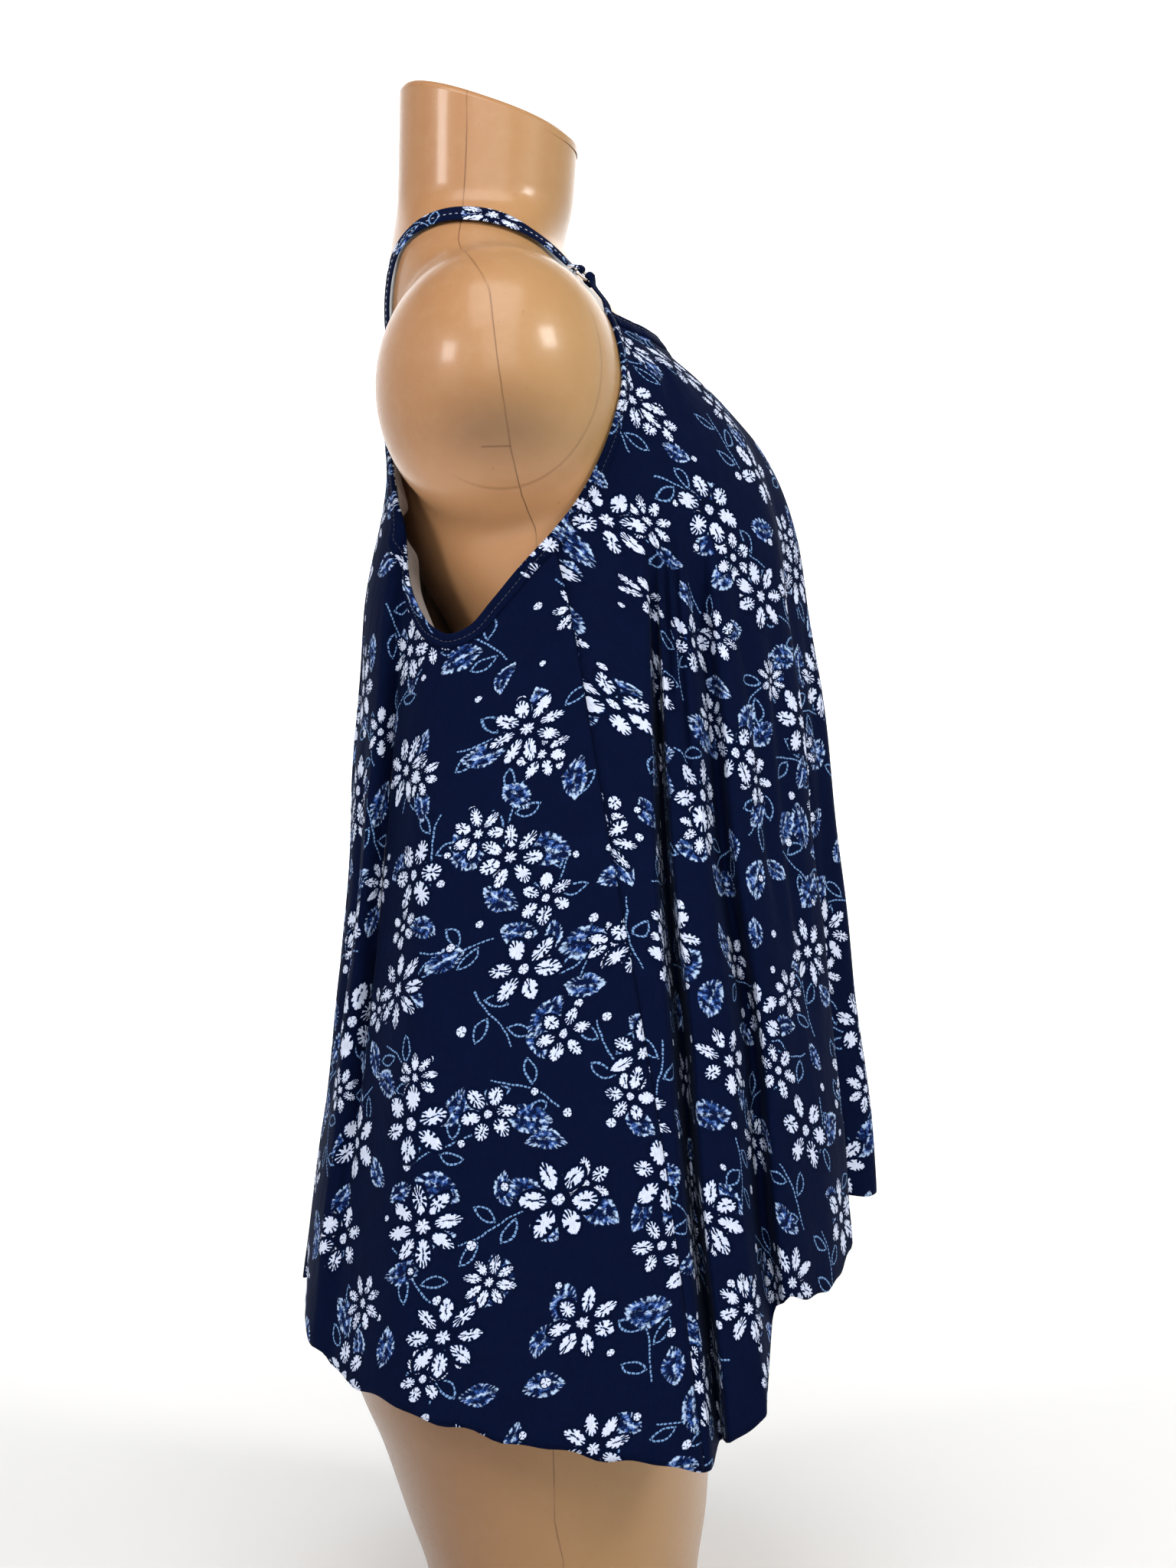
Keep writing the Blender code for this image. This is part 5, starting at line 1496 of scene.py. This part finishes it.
def build_form():
    """The form's skin: rings about its own middle, a flat base and a flat slanted neck."""
    levels = np.concatenate([np.linspace(*level) for level in FORM_LEVELS])
    a = np.linspace(0.0, 360.0, SKIN_SIDES, endpoint=False)
    direction = heading(a)
    front, back = smooth(levels, FORM, 2), smooth(levels, FORM, 3)
    centre = np.stack([0 * levels, (back - front) / 2, levels], -1)
    reach = form_reach(np.repeat(centre[:, None], SKIN_SIDES, 1), direction[None])
    rings = []

    def add_ring(i, inset, lift):
        ring = centre[i] + direction * (reach[i] - inset)[:, None]
        lean = np.clip((levels[i] - NECK_SLANT_FROM) / (levels[-1] - NECK_SLANT_FROM), 0.0, 1.0)
        ring[:, 2] += lift + NECK_SLANT * lean * (ring[:, 1] - centre[i, 1])
        rings.append(ring)

    for turn in np.radians([0.0, 30.0, 60.0, 90.0]):
        add_ring(0, FORM_EDGE * (1 - math.sin(turn)), FORM_EDGE * (1 - math.cos(turn)))
    for i in range(1, len(levels) - 1):
        add_ring(i, 0.0, 0.0)
    for turn in np.radians(np.linspace(0.0, 90.0, 8)):
        add_ring(-1, NECK_EDGE * (1 - math.cos(turn)), NECK_EDGE * (math.sin(turn) - 1))
    n = SKIN_SIDES
    faces = [tuple(range(n))[::-1], tuple((len(rings) - 1) * n + i for i in range(n))]
    faces += tube_faces(len(rings), n)
    piece = add_piece("form_skin", np.concatenate(rings), faces, [FORM_PLASTIC])
    piece.data.set_sharp_from_angle(angle=math.radians(FORM_SHARP))
    return declare(piece, "form_plastic", "dress_form")


# ---------------------------------------------------------------- straps, loops and rings


def strap_line(side, share):
    """Points of the strap's path on the form, at shares of its length."""
    swing = np.radians(STRAP_SWING[0] + (STRAP_SWING[1] - STRAP_SWING[0]) * share)
    origin = np.stack([side * smooth(share, STRAP_ACROSS), *(0 * share + x for x in STRAP_CENTRE)], -1)
    ray = np.stack([0 * swing, np.cos(swing), np.sin(swing)], -1)
    return origin + ray * form_reach(origin, ray, *STRAP_SEARCH)[..., None]


def strap_frame(side, share):
    """Points, run, across and outward directions of the strap's path on the form."""
    p = strap_line(side, share)
    run = unit(strap_line(side, share + 0.01) - strap_line(side, share - 0.01))
    skin = np.stack([form_field(*np.moveaxis(p + d, -1, 0)) - form_field(*np.moveaxis(p - d, -1, 0))
                     for d in np.eye(3) * 2 * MM], -1)
    out = unit(skin - run * np.sum(skin * run, -1, keepdims=True))
    return p, run, unit(np.cross(out, run)) * -side, out


def on_form(point, out, lift):
    """Points moved along the outward direction until they lie this high above the form."""
    deep = point - out * LIFT_DEPTH
    return deep + out * (form_reach(deep, out, *LIFT_SEARCH) + lift)[..., None]


def across_points(point, across, width):
    """Points side by side over a width, for each point of a path."""
    share = np.linspace(-0.5, 0.5, STRAP_COLUMNS + 1)[:, None]
    return np.asarray(point)[..., None, :] + np.asarray(across)[..., None, :] * share * width


def loop(bar, run, out, toward):
    """Middle line of cloth folded round a bar: over it from one side, and back under it."""
    radius = RING_WIRE + LOOP_GAP + CLOTH / 2
    turn = [bar + run * (toward * radius * math.cos(a)) + out * (radius * math.sin(a))
            for a in np.linspace(math.pi / 2, -math.pi / 2, 15)]
    return np.array(turn + [turn[-1] - run * toward * TAIL * s for s in (0.5, 1.0)])


def lengthwise(rows):
    """Distance along a strip's middle at each of its rows."""
    return run_length(rows[:, rows.shape[1] // 2])


def resampled(rows, pitch, sigma=0.0):
    """The same strip with rows at even distances, its kinks rounded over sigma metres."""
    length = lengthwise(rows)
    s = np.linspace(0.0, length[-1], int(round(length[-1] / pitch)) + 1)
    flat = rows.reshape(len(rows), -1)
    new = np.stack([np.interp(s, length, flat[:, i]) for i in range(flat.shape[1])], -1)
    if sigma:
        soft = blurred(new, sigma / pitch, 0)
        ends = np.minimum(ease(s / (2 * sigma)), ease((s[-1] - s) / (2 * sigma)))[:, None]
        new = new * (1 - ends) + soft * ends
    return new.reshape(len(s), rows.shape[1], 3)


def strap_rows(side):
    """The strap's middle surface, from the back panel's top edge over the shoulder to its ring."""
    half = STRAP_COLUMNS // 2
    foot_angle = side * np.linspace(*BACK_STRAP, STRAP_COLUMNS + 1)
    foot = surface(foot_angle, back_edge(foot_angle))
    foot = foot + np.array([0.0, 0.0, 2 * SEAM_GAP]) - heading(foot_angle) * THIN_CLOTH / 2
    share = np.linspace(0.0, 1.0, STRAP_ROWS)
    p, _, across, out = strap_frame(side, share)
    body = across_points(p, across, STRAP_WIDTH)
    body = on_form(body, np.broadcast_to(out[:, None], body.shape), STRAP_LIFT)
    body = body[(share > 0.5) | (body[:, half, 2] > foot[half, 2] + STRAP_WIDTH / 3)]
    if np.dot(body[0, -1] - body[0, 0], foot[-1] - foot[0]) < 0:
        body = body[:, ::-1]
    step = np.linalg.norm(np.diff(np.concatenate([foot[None], body])[:, half], axis=0), axis=1)
    leave = ease(np.cumsum(step) / STRAP_EASE)[:, None, None]
    raised = np.concatenate([np.broadcast_to(foot[None, :, :2], body[..., :2].shape), body[..., 2:]], -1)
    return np.concatenate([foot[None], raised * (1 - leave) + body * leave])


def ring_frame(side):
    """Where the ring lies: a point of the form's skin, the strap's run there, across and outwards."""
    p, run, across, out = strap_frame(side, np.array(RING_SHARE))
    return on_form(p, out, 0.0), run, across, out


def strap_strip(side):
    """The strap's middle surface with the loop at its end that holds the ring."""
    rows = resampled(strap_rows(side), STRAP_ROW, STRAP_SOFT)
    origin, run, across, out = ring_frame(side)
    turn = loop(origin + out * RING_LIFT - run * RING_HALF[0], run, out, 1)
    flip = 1 if np.dot(rows[-1][-1] - rows[-1][0], across) > 0 else -1
    return np.concatenate([rows, across_points(turn, across * flip + 0 * turn, TAB_WIDTH)])


def tab_strip(side):
    """The tab's middle surface: round the ring's lower bar, over the form and down to the front's corner."""
    origin, run, across, out = ring_frame(side)
    path = loop(origin + out * RING_LIFT + run * RING_HALF[0], run, out, -1)[::-1]
    turn = across_points(path, across + 0 * path, TAB_WIDTH)
    angle = side * np.linspace(FRONT_CORNER[0], FRONT_CORNER[0] - TAB_TURN, STRAP_COLUMNS + 1)
    height = neckline_height(angle) - TAB_DROP
    corner = surface(angle, height) - surface_normal(angle, height) * THIN_CLOTH / 2
    if np.dot(corner[-1] - corner[0], across) < 0:
        corner = corner[::-1]
    share = np.linspace(0.0, 1.0, TAB_ROWS)[1:-1, None, None]
    lie = turn[-1] * (1 - share) + corner * share
    seated = on_form(lie, np.broadcast_to(out, lie.shape), TAB_LIFT)
    ends = ease(share / TAB_ENDS[0]) * ease((1 - share) / TAB_ENDS[1])
    return np.concatenate([turn, lie * (1 - ends) + seated * ends, corner[None]])


def strip_piece(name, rows, slot, node, mat, side, swell):
    """A flat folded strip of jersey with rounded edges; gives the piece and its normals."""
    centre = np.array([0, *STRAP_CENTRE])
    normals = grid_normals(rows)
    if np.sum(normals * (rows - centre)) < 0:
        normals = -normals
    share = np.linspace(-1.0, 1.0, rows.shape[1])
    half = STRAP_CLOTH / 2 * np.sqrt(np.maximum(1 - np.abs(share) ** STRIP_EDGE, STRIP_LEAST))
    origin, _, _, out = ring_frame(side)
    near = np.linalg.norm(rows - (origin + out * RING_LIFT), axis=-1) / SWELL_REACH
    outer = half * (1 + swell * ease(np.sum(normals * out, -1)) * ease(1 - near))
    length = lengthwise(rows)
    metres = np.stack([np.broadcast_to(share * STRAP_WIDTH / 2, rows.shape[:2]) + STRAP_PRINT[0],
                       np.broadcast_to(length[:, None], rows.shape[:2]) + STRAP_PRINT[1]], -1)
    piece = wall(name, rows, normals, -half, outer, [mat], metres)
    return declare(piece, slot, node), normals


def build_strap(side):
    word = SIDE_NAMES[side]
    rows = strap_strip(side)
    _, normals = strip_piece("shoulder_strap_" + word, rows, "strap_jersey", "strap_" + word, PRINT,
                             side, STRAP_SWELL)
    k = int(round(STRAP_COLUMNS * (1 - STRAP_STITCH)))
    body = slice(2, len(rows) - LOOP_ROWS)
    line = rows[body, k] + normals[body, k] * (STRAP_CLOTH * STRAP_STITCH_LIFT)
    thread = stitches("shoulder_strap_stitches_" + word, line, normals[body, k], STRAP_PITCH, STRAP_THREAD,
                      PALE_THREAD)
    declare(thread, "strap_jersey")


def build_tab(side):
    word = SIDE_NAMES[side]
    strip_piece("ring_tab_" + word, tab_strip(side), "strap_jersey", "tab_" + word, BAND, side, TAB_SWELL)


def build_ring(side):
    """Oblong ring of wire with round corners, flat on the shoulder between strap and tab."""
    origin, run, across, out = ring_frame(side)
    centre = origin + out * RING_LIFT
    path = []
    for q, (sx, sy) in enumerate(((1, 1), (1, -1), (-1, -1), (-1, 1))):
        for s in range(CORNER_STEPS):
            a = math.radians(90 - 90 * q - 10 * s)
            path.append((sx * (RING_HALF[0] - RING_CORNER) + RING_CORNER * math.cos(a),
                         sy * (RING_HALF[1] - RING_CORNER) + RING_CORNER * math.sin(a)))
    path = np.array(path)
    count = len(path)
    points, faces = [], []
    for i in range(count):
        t = unit(path[(i + 1) % count] - path[i - 1])
        inward_flat = np.array([t[1], -t[0]])
        for j in range(WIRE_SIDES):
            a = FULL_TURN * j / WIRE_SIDES
            flat = path[i] + inward_flat * (RING_WIRE * math.cos(a))
            points.append(centre + run * flat[0] + across * flat[1] + out * (RING_WIRE * math.sin(a)))
    for i in range(count):
        for j in range(WIRE_SIDES):
            a, b = i * WIRE_SIDES + j, i * WIRE_SIDES + (j + 1) % WIRE_SIDES
            c, d = ((i + 1) % count) * WIRE_SIDES + j, ((i + 1) % count) * WIRE_SIDES + (j + 1) % WIRE_SIDES
            faces.append((a, b, d, c))
    if np.dot(np.cross(run, across), out) > 0:
        faces = [face[::-1] for face in faces]
    piece = add_piece("oblong_ring_" + SIDE_NAMES[side], points, faces, [METAL])
    declare(piece, "ring_metal", "ring_" + SIDE_NAMES[side])


# ---------------------------------------------------------------- floor, lights and camera


def build_stage():
    """A pale floor that curves up into a backdrop on every side."""
    rings = [(r, 0.0) for r in (*STAGE_RINGS, STAGE_FLAT)]
    for turn in np.radians(np.linspace(0.0, 90.0, STAGE_STEPS)[1:]):
        rings.append((STAGE_FLAT + STAGE_BEND * math.sin(turn), STAGE_BEND * (1 - math.cos(turn))))
    rings.append((STAGE_FLAT + STAGE_BEND, STAGE_HEIGHT))
    sides = STAGE_SIDES
    points = [(0.0, 0.0, 0.0)]
    for radius, height in rings[1:]:
        for a in (FULL_TURN * i / sides for i in range(sides)):
            points.append((radius * math.cos(a), radius * math.sin(a), height))
    faces = [(0, 1 + i, 1 + (i + 1) % sides) for i in range(sides)]
    for r in range(len(rings) - 2):
        for i in range(sides):
            a, b = 1 + r * sides + i, 1 + r * sides + (i + 1) % sides
            faces.append((a, a + sides, b + sides, b))
    add_piece("studio_sweep", points, faces, [stage_material("pale studio paper")])


def soft_light(name, place, aim, size, power, colour):
    light = bpy.data.lights.new(name, "AREA")
    light.shape = "RECTANGLE"
    light.size, light.size_y = size
    light.energy = power
    light.color = colour
    obj = linked(name, light)
    obj.location = place
    obj.rotation_euler = (Vector(aim) - Vector(place)).to_track_quat("-Z", "Y").to_euler()


def build_lights():
    for name, place, aim, size, power, colour in LIGHTS:
        soft_light(name, place, aim, size, power, colour)
    world = bpy.data.worlds.new("studio")
    bpy.context.scene.world = world
    world.use_nodes = True
    sky = world.node_tree.nodes["Background"]
    sky.inputs["Color"].default_value = (*SKY_COLOUR, 1.0)
    sky.inputs["Strength"].default_value = SKY_STRENGTH


def build_camera():
    camera = bpy.data.cameras.new("camera")
    camera.sensor_fit = "VERTICAL"
    camera.sensor_height = CAMERA_SENSOR
    camera.lens = CAMERA_LENS
    obj = linked("camera", camera)
    obj.location = CAMERA_PLACE
    obj.rotation_euler = (math.radians(90.0), 0.0, math.radians(-90.0))
    bpy.context.scene.camera = obj
    bpy.context.scene.view_settings.view_transform = "Standard"


# ---------------------------------------------------------------- making it


def main():
    build_camera()
    build_lights()
    build_stage()
    build_form()
    front = panel("front_panel", *front_surface(), "front")
    back = panel("back_panel", *back_surface(), "back")
    for side, word in SIDE_NAMES.items():
        band("armhole_binding_" + word, *armhole_edge(side), ARM_BAND, ARM_SIDE[side],
             "armhole_band_" + word, PRINT)
        seam_allowance(side)
        armhole_facing(side)
        build_strap(side)
        build_tab(side)
        build_ring(side)
    turn = np.linspace(-FRONT_NECK_END, FRONT_NECK_END, NECK_SAMPLES)
    edge = even_steps(turn, neckline_height(turn), STATION)
    band("front_neck_binding", *edge, NECK_BAND, -1, "neck_band_front", BAND)
    turn = np.linspace(-BACK_NECK_START, BACK_NECK_START - 360.0, NECK_SAMPLES)
    edge = even_steps(turn, back_edge(turn), STATION)
    band("back_neck_binding", *edge, NECK_BAND, 1, "neck_band_back", BAND)


main()
